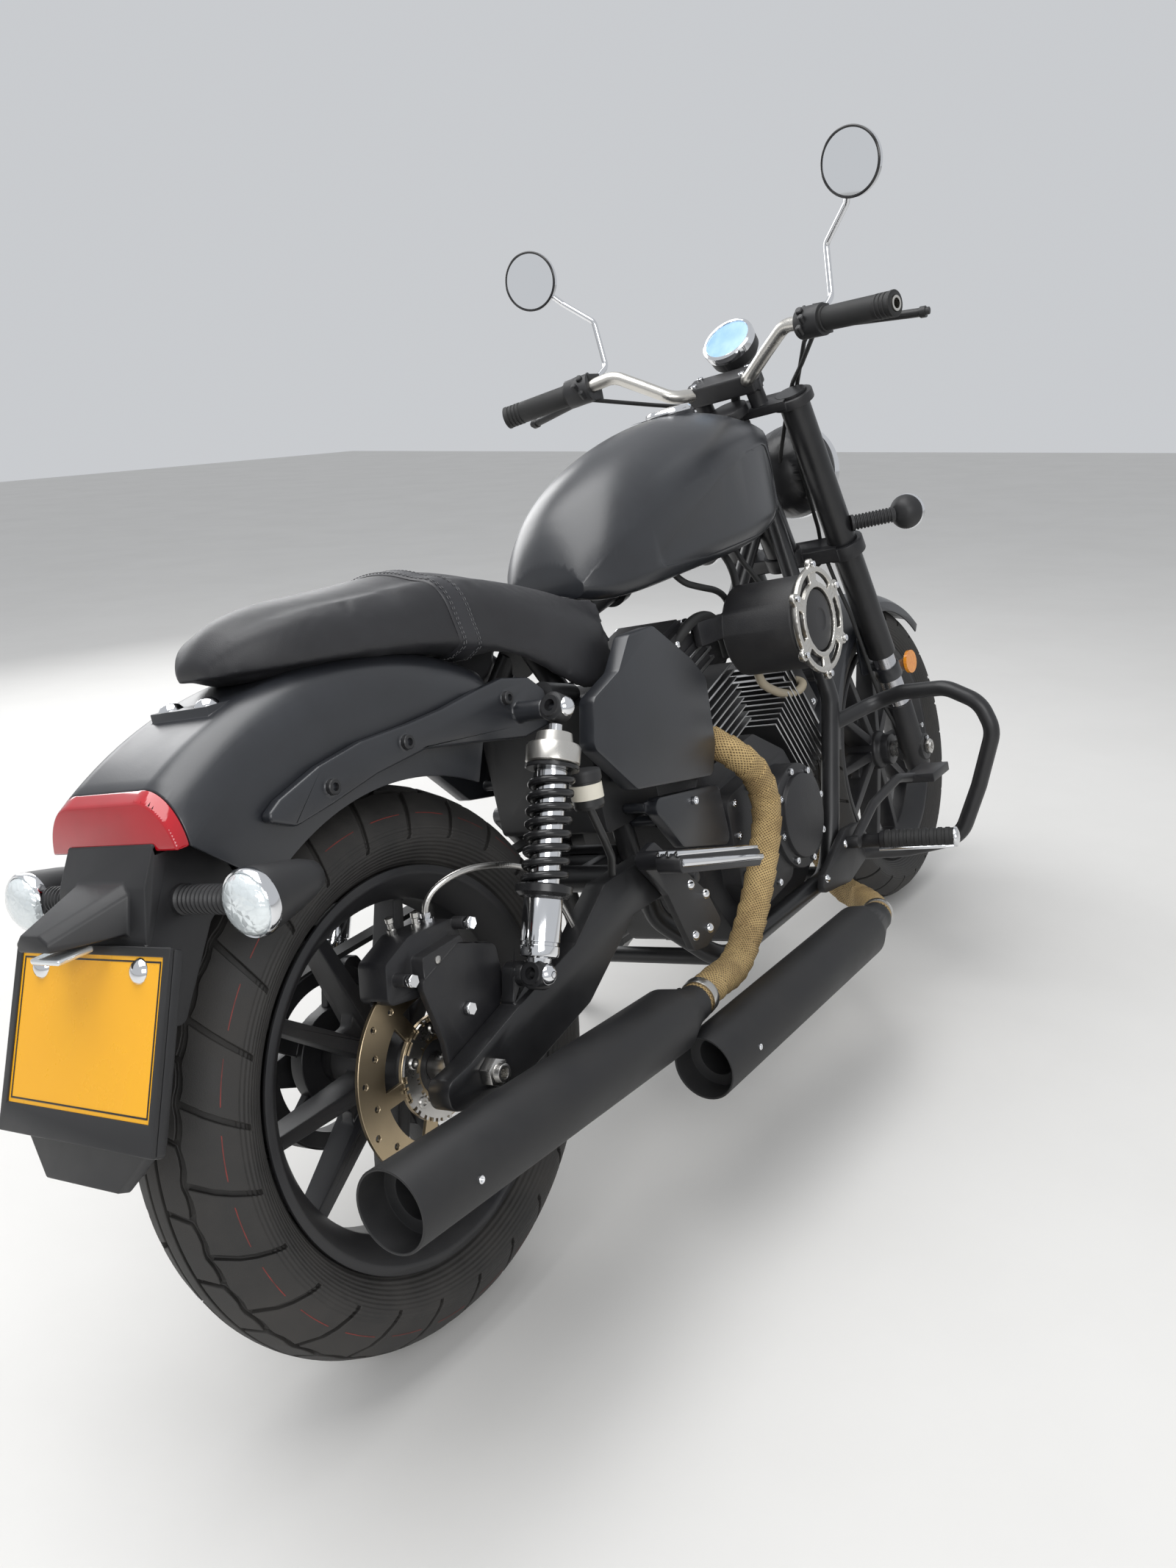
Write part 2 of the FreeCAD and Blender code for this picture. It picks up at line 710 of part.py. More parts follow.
def rear_signals():
    """Bullet-shaped signal lamps on short stalks."""
    x, z = tail_x - 5, tail_z - signal_drop
    bowl = turned([(0, -74), (10, -70), (19, -52), (26, -22), (signal_radius, -4), (signal_radius, 8),
                   (signal_radius - 4, 16), (0, 20)], (x, signal_y, z), (-1, 0, 0))
    stalk = rod((x + 4, carrier_half_width + seat_gap, z), (x + 4, signal_y - 10, z), 13)
    return both_sides(fused([bowl, stalk]))


seat_sections = (
    # x, half width, low, high, lower corner, crown
    (-838, 24, fender_top, fender_top + 22, 4, 4),
    (-822, 44, fender_top - 1, fender_top + 40, 6, 7),
    (-796, 66, fender_top - 3, fender_top + 56, 8, 11),
    (-750, 86, fender_top - 5, fender_top + 66, 10, 14),
    (-640, 101, fender_top - 12, fender_top + 69, 12, 16),
    (-530, 106, fender_top - 31, fender_top + 70, 12, 16),
    (-430, 110, 692, 812, 12, 14),
    (-345, 111, 642, 786, 12, 10),
    (-290, 106, 640, 764, 10, 6),
    (-240, 92, 690, 768, 10, 8),
)


def seat_section(x, half_width, low, high, corner, crown):
    """Cross-section of the seat: flat below, upright sides, rounded shoulders and an arched top."""
    shoulder = 0.42 * (high - low)
    flat = half_width - shoulder
    rim = high - crown
    blend = corner * (1.0 - math.sqrt(0.5))
    foot, bend, side, top = (
        (half_width - corner, low), (half_width - blend, low + blend), (half_width, low + corner), (flat, rim))
    hip = (half_width, rim - 0.8 * shoulder)
    round_over = (flat + 0.72 * shoulder, rim - 0.22 * shoulder)

    def left(place):
        return Vector(x, place[0], place[1])

    def right(place):
        return Vector(x, -place[0], place[1])

    edges = [
        Part.LineSegment(right(foot), left(foot)).toShape(),
        Part.Arc(left(foot), left(bend), left(side)).toShape(),
        Part.LineSegment(left(side), left(hip)).toShape(),
        Part.Arc(left(hip), left(round_over), left(top)).toShape(),
        Part.Arc(left(top), Vector(x, 0, high), right(top)).toShape(),
        Part.Arc(right(top), right(round_over), right(hip)).toShape(),
        Part.LineSegment(right(hip), right(side)).toShape(),
        Part.Arc(right(side), right(bend), right(foot)).toShape(),
    ]
    return Part.Wire(edges)


@lru_cache(maxsize=None)
def seat():
    """Two-up seat, hollowed over the fender's crown and over the frame's rear struts."""
    wires = [seat_section(*row) for row in seat_sections]
    pad = Part.makeLoft(wires, True, False)
    hollow = fender_form(0, seat_gap + 0.2)
    rail = block(-560, -200, -92, 92, 600, 724)
    spine = block(-420, -200, -30, 30, 700, 750)
    struts = both_sides(rear_strut(seat_gap))
    return pad.cut(hollow).cut(rail).cut(spine).cut(struts)


def rear_strut(grow=0.0):
    """Short tube from the frame's rear loop out to the left strut cover."""
    return rod((-318, 64, 638), (-427, 104, 660), 13 + grow)


tank_sections = (
    # x, half width, low, high, lower corner, crown
    (-238, 62, 752, 800, 16, 30),
    (-190, 92, 742, 868, 22, 60),
    (-90, 118, 746, 930, 30, 84),
    (60, 132, 757, 973, 34, 92),
    (200, 128, 772, 986, 34, 84),
    (tank_front_x, 80, 800, 972, 26, 34),
)


backbone_route = ((head_x(900) - 10, 0, 868), (150, 0, 806), (-180, 0, 734), (-330, 0, 690))


def backbone_collar(start, end, share):
    """Rubber-faced collar round the backbone, at a share of the run between two points."""
    start, end = Vector(*start), Vector(*end)
    run = end - start
    middle = start + run * share
    half = run.normalize() * 10
    return rod(tuple(middle - half), tuple(middle + half), tunnel_half_width - seat_gap)


tank_panel = (
    (-150, 768), (-60, 818), (60, 872), (160, 903), (250, 914), (296, 868), (290, 802), (200, 780), (0, 766),
)


def tank_form(inset):
    """Solid form of the tank, its sides drawn in by an inset."""
    wires = []
    for x, half_width, low, high, corner, crown in tank_sections:
        wires.append(section(x, half_width - inset, low, high, corner, crown))
    return Part.makeLoft(wires, True, False)


def fuel_tank():
    """Peanut-shaped tank with a shallow panel in each side, a filler neck and a tunnel for the backbone."""
    window = slab(tank_panel, -220, -40, 26)
    recess = both_sides(window).cut(tank_form(tank_panel_depth))
    neck = rod(cap_place(-26), cap_place(0), 40)
    roof = [(x, z + tunnel_half_width + 1) for x, y, z in reversed(backbone_route)]
    outline = roof + [(backbone_route[0][0], 660), (backbone_route[-1][0], 660)]
    tunnel = slab(outline, -tunnel_half_width, tunnel_half_width, 4)
    return fused([tank_form(0).cut(recess), neck]).cut(tunnel)


def cap_place(out):
    """Point on the filler's axis, out from the neck's face."""
    return (178 - 0.1 * out, 0, 988 + 0.995 * out)


def tank_cap():
    """Turned cap on the filler neck."""
    return turned([(0, 0.2), (38, 0.2), (38, 5), (33, 9), (0, 11)], cap_place(0), (-0.1, 0, 0.995))


def side_cover(outline, y0, y1, pegs):
    """Right side cover with pegs that reach in to the frame."""
    pieces = [slab(outline, y0, y1, 14)]
    for x, z, reach in pegs:
        pieces.append(rod((x, y1 - 1, z), (x, -reach, z), 7))
    return fused(pieces).cut(grouped([frame(), battery_box()]))


def side_covers():
    """Upper and lower covers on both sides."""
    upper = [(-392, 640), (-412, 583), (-338, 510), (-151, 477), (-129, 517), (-121, 609),
             (-150, 642), (-230, 701), (-290, 700), (-328, 661)]
    lower = [(-308, 488), (-122, 458), (-116, 366), (-241, 402)]
    right = [side_cover(upper, -152, -128, [(-300, 520, 88), (-220, 520, 88), (-260, 610, 88)]),
             side_cover(lower, -140, -122, [(-264, 448, 66), (-285, 472, 88)])]
    left = [mirrored(piece) for piece in right]
    return grouped(right + left)


@lru_cache(maxsize=None)
def crankcase():
    """Crankcase with gearbox, clutch cover on the right and generator cover on the left."""
    body = slab([(-150, 300), (-165, 420), (-120, 470), (60, 488), (150, 440), (205, 350), (190, 250),
                 (120, 205), (-90, 205)], -108, case_half_width, 24)
    clutch = rod((95, -146, 345), (95, -107, 345), 82)
    clutch_rim = rod((95, -154, 345), (95, -145, 345), 66)
    gear = slab([(-108, 300), (-108, 430), (40, 450), (60, 260), (-70, 244)], -138, -107, 24)
    generator = rod((crank_x + 20, case_half_width - 1, crank_z), (crank_x + 20, 132, crank_z), 76)
    sump = block(-40, 110, -60, 60, 186, 206)
    return fused([body, clutch, clutch_rim, gear, generator, sump])


def cylinder_place(shape, tilt):
    """Turns a cylinder built along +Z over the crank to its tilt."""
    shape.rotate(Vector(0, 0, 0), Vector(0, 1, 0), tilt)
    shape.translate(Vector(crank_x, cylinder_y, crank_z))
    return shape


def cylinder():
    """Barrel with cooling fins, along +Z from the crank's centre."""
    end = fin_start + fin_count * fin_pitch
    barrel = rod((0, 0, fin_start - 25), (0, 0, end), barrel_radius)
    pieces = [barrel]
    for i in range(fin_count):
        z = fin_start + fin_pitch * i
        plate = block(-fin_half_length, fin_half_length, -fin_half_width, fin_half_width, z, z + fin_thickness)
        pieces.append(plate)
    return fused(pieces)


@lru_cache(maxsize=None)
def cylinders():
    """Rear and front finned cylinders."""
    rear = cylinder_place(cylinder(), rear_cylinder_tilt)
    front = cylinder_place(cylinder(), front_cylinder_tilt)
    return grouped([rear.cut(crankcase()), front.cut(rear).cut(crankcase())])


def head():
    """Cylinder head with wide fins and a rocker cover, along +Z."""
    low = fin_start + fin_count * fin_pitch + 0.2
    body = block(-64, 64, -70, 70, low, low + 48)
    pieces = [body]
    for i in range(3):
        z = low + 4 + 15 * i
        pieces.append(block(-fin_half_length + 4, fin_half_length - 4, -74, 74, z, z + 5))
    cover = block(-56, 56, -66, 66, low + 48, low + 78)
    cap = block(-42, 42, -52, 52, low + 78, low + 86)
    return fused(pieces + [cover, cap])


@lru_cache(maxsize=None)
def cylinder_heads():
    """Heads of both cylinders."""
    return grouped([
        cylinder_place(head(), rear_cylinder_tilt),
        cylinder_place(head(), front_cylinder_tilt),
    ])


def air_cleaner():
    """Round filter housing on the right of the engine."""
    x, z = 115.0, 640.0
    can = turned([(0, -216), (60, -216), (70, -208), (70, -96), (50, -84), (0, -84)], (x, 0, z))
    duct = rod((x, -86, z), (x - 20, -30, z - 26), 26)
    tab = block(-20, 62, -96, -84, 640, 676)
    return fused([can, duct, tab]).cut(cylinder_heads()).cut(cylinders())


def air_cleaner_ring():
    """Cast ring with six lugs over the filter's face."""
    x, z, y = 115.0, 640.0, -216.3
    ring = turned([(44, y), (80, y), (80, y - 9), (44, y - 9)], (x, 0, z))
    lugs = []
    windows = []
    for i in range(6):
        a = math.radians(60 * i + 30)
        px, pz = x + 82 * math.cos(a), z + 82 * math.sin(a)
        lugs.append(rod((px, y, pz), (px, y - 9, pz), 9))
        b = math.radians(60 * i)
        qx, qz = x + 64 * math.cos(b), z + 64 * math.sin(b)
        windows.append(rod((qx, y + 1, qz), (qx, y - 10, qz), 12))
    return fused([ring] + lugs).cut(grouped(windows))


rear_header_route = (
    (-106, -30, 588), (-142, -58, 568), (-108, -120, 524), (-100, -160, 495), (-66, -172, 458),
    (-52, -172, 400), (-92, -172, 338), (-160, -174, 270), (-250, -186, 232), (-330, -200, 250),
    (-388, -205.5, 248),
)
front_header_route = (
    (330, -12, 436), (362, -18, 384), (332, -44, 262), (268, -96, 166), (180, -206, 166), (96, -243, 178),
)


def exhaust_headers():
    """Wrapped pipes from the two cylinders to the mufflers."""
    ends = grouped([mufflers(), cylinder_heads(), cylinders()])
    rear = pipe(rear_header_route, header_radius, 40).cut(ends)
    front = pipe(front_header_route, header_radius, 40).cut(ends)
    return grouped([rear, front])


def muffler(front, rear):
    """Straight muffler, open at the rear and necked at the front."""
    front, rear = Vector(*front), Vector(*rear)
    run = rear - front
    length = run.Length
    profile = [
        (0, 0.3), (header_radius + 3, 0.3), (header_radius + 5, 22), (muffler_radius, 70),
        (muffler_radius, length), (muffler_radius - 3, length), (muffler_radius - 3, length - 34),
        (24, length - 34), (24, length - 90), (0, length - 90),
    ]
    return turned(profile, tuple(front), tuple(run))


@lru_cache(maxsize=None)
def mufflers():
    """Rear and front mufflers, side by side on the right."""
    rear = muffler((-388, -206, 247), (-939, -213, 292))
    front = muffler((96, -243, 178), (-440, -233, 186))
    return grouped([rear, front])


@lru_cache(maxsize=None)
def frame():
    """Steel double-cradle frame."""
    top_z, low_z = 958.0, 732.0
    head = rod((head_x(low_z), 0, low_z), (head_x(top_z), 0, top_z), 29)
    pieces = [head]
    pieces.append(pipe(backbone_route, 24, 160))
    pieces.append(backbone_collar(backbone_route[0], backbone_route[1], 0.6))
    pieces.append(backbone_collar(backbone_route[1], backbone_route[2], 0.7))
    for s in (-1, 1):
        pieces.append(pipe([
            (head_x(800) - 6, s * 12, 806), (317, s * 124, 483), (232, s * 128, 300), (190, s * rail_y, rail_z),
            (-180, s * rail_y, rail_z), (-238, s * 70, 300), (pivot_x, s * 66, pivot_z),
            (-282, s * 66, 560), (-330, s * 60, 640), (-320, s * 18, 700),
        ], rail_radius, 60))
    pieces += [rear_strut(), mirrored(rear_strut())]
    pieces.append(rod((-318, -66, 640), (-318, 66, 640), 13))
    pieces.append(rod((190, -rail_y, 216), (190, rail_y, 216), 12))
    pieces.append(rod((-170, -rail_y, 216), (-170, rail_y, 216), 12))
    body = fused(pieces)
    bore = rod((head_x(low_z - 20), 0, low_z - 20), (head_x(top_z + 20), 0, top_z + 20), 20)
    return body.cut(bore)


@lru_cache(maxsize=None)
def battery_box():
    """Closed box between the side covers."""
    box = block(-334, -200, -88, 88, 452, 632)
    box = box.makeFillet(10, [e for e in box.Edges if abs(e.tangentAt(e.FirstParameter).y) > 0.9])
    return box.cut(frame())


def pivot_bolt():
    """Swingarm pivot bolt through the frame's rear tubes."""
    return rod((pivot_x, -82, pivot_z), (pivot_x, 82, pivot_z), 9)


def fork_upper(side):
    """Black upper tube of one fork leg."""
    y = side * fork_spread
    top, low = 994.0, 505.0
    return rod((fork_x(low), y, low), (fork_x(top), y, top), 26)


def fork_lower(side):
    """Bright inner tube and the axle foot of one fork leg."""
    y = side * fork_spread
    leg = rod((fork_x(330), y, 330), (fork_x(504.8), y, 504.8), 20.5)
    foot = rod((front_x + 4, y, 262), (fork_x(400), y, 400), 24)
    boss = rod((front_x, y - 25, front_tyre_radius), (front_x, y + 25, front_tyre_radius), 26)
    body = fused([leg, foot, boss])
    hole = rod((front_x, y - 40, front_tyre_radius), (front_x, y + 40, front_tyre_radius),
               front_axle_radius + running_gap)
    return body.cut(hole)


def front_axle():
    """Hollow front axle with spacers and a nut."""
    z = front_tyre_radius
    reach = front_axle_half()
    pieces = [rod((front_x, -reach, z), (front_x, reach, z), front_axle_radius)]
    for side in (-1, 1):
        start = (front_x, side * (front_hub_length / 2.0 + seat_gap), z)
        pieces.append(rod(start, (front_x, side * (fork_spread - 25.1), z), front_axle_radius + 6))
        face = hexagon(front_x, side * (fork_spread + 25.2), z, 15)
        pieces.append(Part.Face(face).extrude(Vector(0, side * 9, 0)))
    body = fused(pieces)
    return body.cut(rod((front_x, -reach - 5, z), (front_x, reach + 5, z), axle_bore_radius))


def clamp_plate(z, thickness, reach):
    """Triple clamp across both legs, square to the steering axis."""
    along = Vector(-sin_rake, 0, cos_rake)
    pieces = []
    for side in (-1, 1):
        centre = Vector(fork_x(z), side * fork_spread, z)
        ring = Part.makeCylinder(36, thickness, centre, along)
        pieces.append(ring)
    steer = Vector(head_x(z), 0, z)
    pieces.append(Part.makeCylinder(34, thickness, steer, along))
    middle = Vector(fork_x(z) - 12, 0, z)
    bridge = Part.makeBox(reach, 2 * fork_spread, thickness)
    bridge.translate(Vector(-reach / 2.0, -fork_spread, 0))
    bridge.rotate(Vector(0, 0, 0), Vector(0, 1, 0), -rake)
    bridge.translate(middle)
    pieces.append(bridge)
    body = fused(pieces)
    for side in (-1, 1):
        centre = Vector(fork_x(z), side * fork_spread, z) - along * 10
        body = body.cut(Part.makeCylinder(26.02, thickness + 20, centre, along))
    return body


def triple_clamps():
    """Upper and lower clamps on the steering stem, with the bar risers."""
    top = clamp_plate(975, 16, 52)
    low = clamp_plate(706, 26, 52)
    stem = rod((head_x(710), 0, 710), (head_x(978), 0, 978), 19.95)
    risers = []
    for side in (-1, 1):
        risers.append(rod((head_x(980) + 22, side * 50, 982), (380, side * 50, 1024), 15))
        risers.append(rod((380, side * 36, 1025), (380, side * 64, 1025), 19))
    body = fused([top, low, stem] + risers)
    return body.cut(handlebar_bar(bar_radius + 0.02))


bar_route = (
    (243, -365, 1061), (273, -233, 1073), (300, -163, 1084), (315, -116, 1054), (330, -74, 1026),
    (380, -40, 1025), (380, 40, 1025), (330, 74, 1026), (315, 116, 1054), (300, 163, 1084),
    (273, 233, 1073), (243, 365, 1061),
)


def handlebar_bar(radius):
    """Bent bar along its route."""
    return pipe(bar_route, radius, 40)


def bar_end(side):
    """Middle of the bar's open end and the unit direction out of it."""
    end = Vector(*bar_route[-1])
    inner = Vector(*bar_route[-2])
    out = (end - inner).normalize()
    if side < 0:
        end = Vector(end.x, -end.y, end.z)
        out = Vector(out.x, -out.y, out.z)
    return end, out


def handlebar():
    """Bright bent bar with open ends."""
    body = handlebar_bar(bar_radius)
    for side in (-1, 1):
        end, out = bar_end(side)
        body = body.cut(Part.makeCylinder(bar_bore_radius, bar_bore_depth, end, out * -1))
    return body


@lru_cache(maxsize=None)
def hand_controls():
    """Grips, switch housings and levers."""
    nodes = []
    for side in (-1, 1):
        end, out = bar_end(side)
        inner = end - out * 128
        grip = Part.makeCylinder(grip_radius, 126, end - out * 128, out)
        house = Part.makeCylinder(24, 43, inner - out * 42, out)
        box = Part.makeBox(34, 38, 44)
        box.translate(Vector(-17, -19, -22))
        box.translate(inner - out * 24 + Vector(18, 0, 2))
        master = rod(tuple(inner - out * 30 + Vector(24, 0, 4)), tuple(inner - out * 4 + Vector(40, 0, 0)), 12)
        tip = Vector(376 - 40, side * 380, 1049)
        knee = inner + Vector(58, 0, -6)
        lever = pipe([tuple(inner - out * 20 + Vector(34, 0, 0)), tuple(knee + out * 16),
                      tuple(tip)], 5.5, 20)
        body = fused([grip, house, box, master, lever])
        nodes.append(body.cut(handlebar_bar(bar_radius + 0.02)))
    return grouped(nodes)


def mirrors():
    """Round mirrors on bent stems."""
    nodes = []
    controls = hand_controls()
    for side in (-1, 1):
        stem = pipe([(296, side * 218, 1076), (369, side * 218, 1114), (368, side * 224, 1193),
                     (353, side * 272, 1237), (322, side * 300, 1278)], 5, 14)
        axis = Vector(-0.94, side * -0.12, -0.08)
        face = turned([(0, 0), (mirror_radius, 0), (mirror_radius, 8), (mirror_radius - 8, 17), (0, 24)],
                      (312, side * 303, 1282), tuple(axis * -1))
        nodes.append(fused([stem, face]).cut(controls))
    return grouped(nodes)


def gauge():
    """Round instrument above the bar clamp."""
    centre = (426, 0, 1101)
    axis = (-0.72, 0, 0.69)
    cup = turned([(0, -44), (30, -44), (44, -26), (46, 2), (42, 6), (0, 4)], centre, axis)
    stay = rod((430, 0, 1090), (408, 0, 980), 8)
    return fused([cup, stay]).cut(triple_clamps())


def headlight():
    """Round headlight in a bowl ahead of the fork."""
    z = 868.0
    centre = (fork_x(z) + 92, 0, z)
    bowl = turned([(0, -62), (34, -58), (64, -34), (80, 0), (84, 22), (84, 34), (78, 42), (0, 52)],
                  centre, (1, 0, -0.03))
    ears = []
    for side in (-1, 1):
        ears.append(rod((fork_x(z) + 92, side * 72, z), (fork_x(z) + 6, side * (fork_spread - 4), z), 9))
    return fused([bowl] + ears).cut(grouped([fork_upper(-1), fork_upper(1)]))


def front_signals():
    """Round front signals on stalks from the fork legs."""
    z = 757.0
    x = fork_x(z)
    stalk = rod((x, fork_spread + 26.1, z), (x + 40, 196, z), 11)
    bowl = turned([(0, -26), (16, -24), (signal_radius - 2, -6), (signal_radius, 8), (0, 18)],
                  (x + 62, 206, z), (1, 0, 0))
    return both_sides(fused([stalk, bowl]).cut(fork_upper(1)))


def front_fender():
    """Short pressed fender over the front tyre with its fork stays."""
    centre = Vector(front_x, 0, front_tyre_radius)
    inner = front_tyre_radius + 16
    half = front_fender_half_width

    def at(r, y):
        return Vector(front_x + r, y, front_tyre_radius)

    edges = [
        Part.LineSegment(at(inner - 42, -half), at(inner - 24, -half)).toShape(),
        Part.Arc(at(inner - 24, -half), at(inner + 3, 0), at(inner - 24, half)).toShape(),
        Part.LineSegment(at(inner - 24, half), at(inner - 42, half)).toShape(),
        Part.LineSegment(at(inner - 42, half), at(inner - 42, half - 3)).toShape(),
        Part.LineSegment(at(inner - 42, half - 3), at(inner - 25, half - 3)).toShape(),
        Part.Arc(at(inner - 25, half - 3), at(inner, 0), at(inner - 25, -half + 3)).toShape(),
        Part.LineSegment(at(inner - 25, -half + 3), at(inner - 42, -half + 3)).toShape(),
        Part.LineSegment(at(inner - 42, -half + 3), at(inner - 42, -half)).toShape(),
    ]
    face = Part.Face(Part.Wire(edges))
    face.rotate(centre, Vector(0, 1, 0), -48)
    shell = face.revolve(centre, Vector(0, -1, 0), 118)
    stays = []
    for side in (-1, 1):
        stays.append(slab([(fork_x(500) - 40, 470), (fork_x(500) - 40, 545), (fork_x(500) + 46, 545),
                           (fork_x(500) + 70, 470)], side * (half - 2), side * (half + 2), 8))
        stays.append(rod((fork_x(480), side * half, 480), (fork_x(480), side * (half + 22), 480), 9))
    legs = grouped([fork_lower(-1), fork_lower(1)])
    bracket = reflector_bracket()
    return fused([shell] + stays + [bracket, mirrored(bracket)]).cut(legs)


def front_disc():
    """Front brake disc on the left of the wheel."""
    disc = brake_disc(front_x, front_tyre_radius, -front_hub_length / 2.0 - disc_thickness, front_disc_radius)
    return mirrored(disc)


def rear_caliper():
    """Two-bolt caliper over the top of the rear disc, on a carrier plate round the axle."""
    y = -rear_hub_length / 2.0 - disc_thickness / 2.0
    inner = -arm_inner_y + seat_gap
    body = slab(off_axle([(-70, 100), (-60, 142), (-18, 158), (50, 152), (62, 112), (18, 84)]), y - 24, y + 17, 10)
    carrier = slab(off_axle([(-24, -18), (-22, 40), (-36, 112), (30, 132), (88, 108), (88, 60), (30, -14)]),
                   inner, inner + 9, 10)
    link = slab(off_axle([(-30, 104), (-24, 136), (40, 138), (44, 100)]), inner + 1, y - 20, 6)
    piston = rod((rear_x + 62, y - 34, rear_tyre_radius + 86), (rear_x + 62, y - 4, rear_tyre_radius + 86), 31)
    bolts = []
    for x, z in off_axle([(22, 60), (52, 146), (-50, 122)]):
        bolts.append(rod((x, inner + 2, z), (x, y - 22, z), 7))
    disc_room = turned([(0, y - 5), (rear_disc_radius + 4, y - 5), (rear_disc_radius + 4, y + 5), (0, y + 5)],
                       (rear_x, 0, rear_tyre_radius))
    hole = rod((rear_x, -170, rear_tyre_radius), (rear_x, 0, rear_tyre_radius), rear_axle_radius + 6.1)
    return fused([body, carrier, link, piston] + bolts).cut(disc_room).cut(hole)


def front_caliper():
    """Caliper on the left fork leg."""
    y = front_hub_length / 2.0 + disc_thickness / 2.0
    cx, cz = front_x - 116.0, front_tyre_radius + 60.0
    body = block(cx - 26, cx + 26, y - 17, y + 24, cz - 42, cz + 42)
    disc_room = turned([(0, y - 5), (front_disc_radius + 4, y - 5), (front_disc_radius + 4, y + 5), (0, y + 5)],
                       (front_x, 0, front_tyre_radius))
    arm = slab([(cx - 20, cz - 30), (cx - 20, cz + 34), (fork_x(400), 412), (fork_x(352), 340)],
               y + 14, y + 24, 6)
    return fused([body, arm]).cut(disc_room).cut(fork_lower(1))


brake_hose_route = (
    (302, -212, 1079), (370, -160, 1060), (455, -100, 1012), (478, -66, 950), (508, -54, 870),
    (548, -50, 760), (572, -40, 700), (590, 20, 664), (566, 64, 628), (552, 92, 592), (572, 96, 540),
    (594, 84, 460), (597, 68, 394),
)
sensor_lead_route = (
    (520, -66, 712), (534, -72, 660), (548, -84, 596), (572, -84, 540), (600, -84, 470), (632, -82, 410),
    (668, -88, 352),
)
harness_route = ((285, -215, 1058), (380, -146, 1030), (450, -92, 1010), (472, -60, 960), (492, -30, 905),
                 (512, -14, 882))


def cables():
    """Brake hose to the front caliper, sensor lead down the right leg and leads to the headlight."""
    leads = [
        pipe(brake_hose_route, hose_radius, 30),
        pipe(sensor_lead_route, hose_radius, 30),
        pipe(harness_route, hose_radius, 30),
        mirrored(pipe(harness_route, hose_radius, 30)),
    ]
    ends = grouped([hand_controls(), headlight(), front_caliper(), triple_clamps(), fork_lower(-1)])
    return grouped([lead.cut(ends) for lead in leads])


def reflectors():
    """Oval side reflectors on their brackets ahead of the fork legs."""
    lens = Part.Ellipse(Vector(0, 0, 0), 27, 22).toShape()
    disc = Part.Face(Part.Wire([lens])).extrude(Vector(0, 0, 6))
    disc.rotate(Vector(0, 0, 0), Vector(1, 0, 0), 90)
    disc.translate(Vector(reflector_x, -reflector_y, reflector_z))
    return both_sides(disc)


def reflector_bracket():
    """Right bracket of a reflector, with its clamp round the fork leg."""
    y = -reflector_y + seat_gap
    arm = slab([(fork_x(reflector_z) + 4, reflector_z - 12), (fork_x(reflector_z) + 4, reflector_z + 12),
                (reflector_x + 18, reflector_z + 12), (reflector_x + 18, reflector_z - 12)], y, y + 4, 5)
    low, high = reflector_z - 12, reflector_z + 12
    ring = rod((fork_x(low), -fork_spread, low), (fork_x(high), -fork_spread, high), 25)
    return fused([arm, ring])


def radiator():
    """Radiator ahead of the frame's front tubes, held by two ears."""
    core = block(-14, 14, -84, 84, -72, 72)
    tanks = [block(-15, 15, -84, 84, 71, 84), block(-15, 15, -84, 84, -84, -71)]
    ears = [block(-56, -10, 62, 84, 10, 30), block(-56, -10, -84, -62, 10, 30)]
    body = fused([core] + tanks + ears)
    body.rotate(Vector(0, 0, 0), Vector(0, 1, 0), 21.6)
    body.translate(Vector(418, 0, 586))
    return body.cut(frame())


def foot_pegs():
    """Rider pegs with brackets and passenger pegs with their plates, both sides."""
    rider_plate = slab([(96, 214), (110, 240), (214, 284), (270, 280), (276, 214), (200, 198)], -160, -148, 10)
    rider_stub = rod((252, -150, 250), (252, -204, 252), 12)
    rider_peg = rod((252, -200, 252), (276, -315, 246), 15)
    rider_arm = rod((170, -rail_y, 222), (170, -150, 222), 11)
    rider = fused([rider_plate, rider_stub, rider_peg, rider_arm])
    plate = slab([(-396, 436), (-351, 446), (-252, 345), (-228, 292), (-276, 276), (-310, 282), (-344, 372)],
                 -168, -158, 10)
    peg = slab([(-414, 424), (-414, 446), (-219, 392), (-219, 368)], -240, -206, 8)
    mount = rod((-380, -160, 430), (-372, -212, 428), 12)
    stubs = [rod((-256, -160, z), (-256, -58, z), 8) for z in (342, 366)]
    passenger = fused([plate, peg, mount] + stubs)
    cutter = grouped([frame(), swingarm()])
    pieces = [rider.cut(cutter), passenger.cut(cutter)]
    return grouped(pieces + [mirrored(piece) for piece in pieces])


def brake_pedal():
    """Right foot brake pedal with a wide pad."""
    arm = pipe([(212, -172, 262), (300, -176, 300), (396, -186, 318), (470, -196, 300)], 8, 40)
    pad = block(440, 520, -234, -182, 296, 312)
    boss = rod((212, -160.2, 262), (212, -182, 262), 10)
    return fused([arm, pad, boss])


def shift_lever():
    """Left foot shift lever with its linkage."""
    arm = pipe([(212, 170, 262), (300, 172, 300), (396, 178, 330)], 7, 40)
    pad = rod((396, 160, 330), (396, 222, 330), 10)
    boss = rod((212, 160.2, 262), (212, 180, 262), 10)
    return fused([arm, pad, boss])


def engine_guards():
    """Round-tube guard beside the engine, on the right."""
    side = pipe([(300, -120, 440), (383, -170, 456), (383, -225, 470), (383, -300, 470), (383, -352, 440),
                 (383, -367, 392), (383, -330, 300), (372, -290, 215), (345, -200, 205), (305, -134, 215),
                 (215, -122, 250)], 13, 50)
    return side.cut(frame())


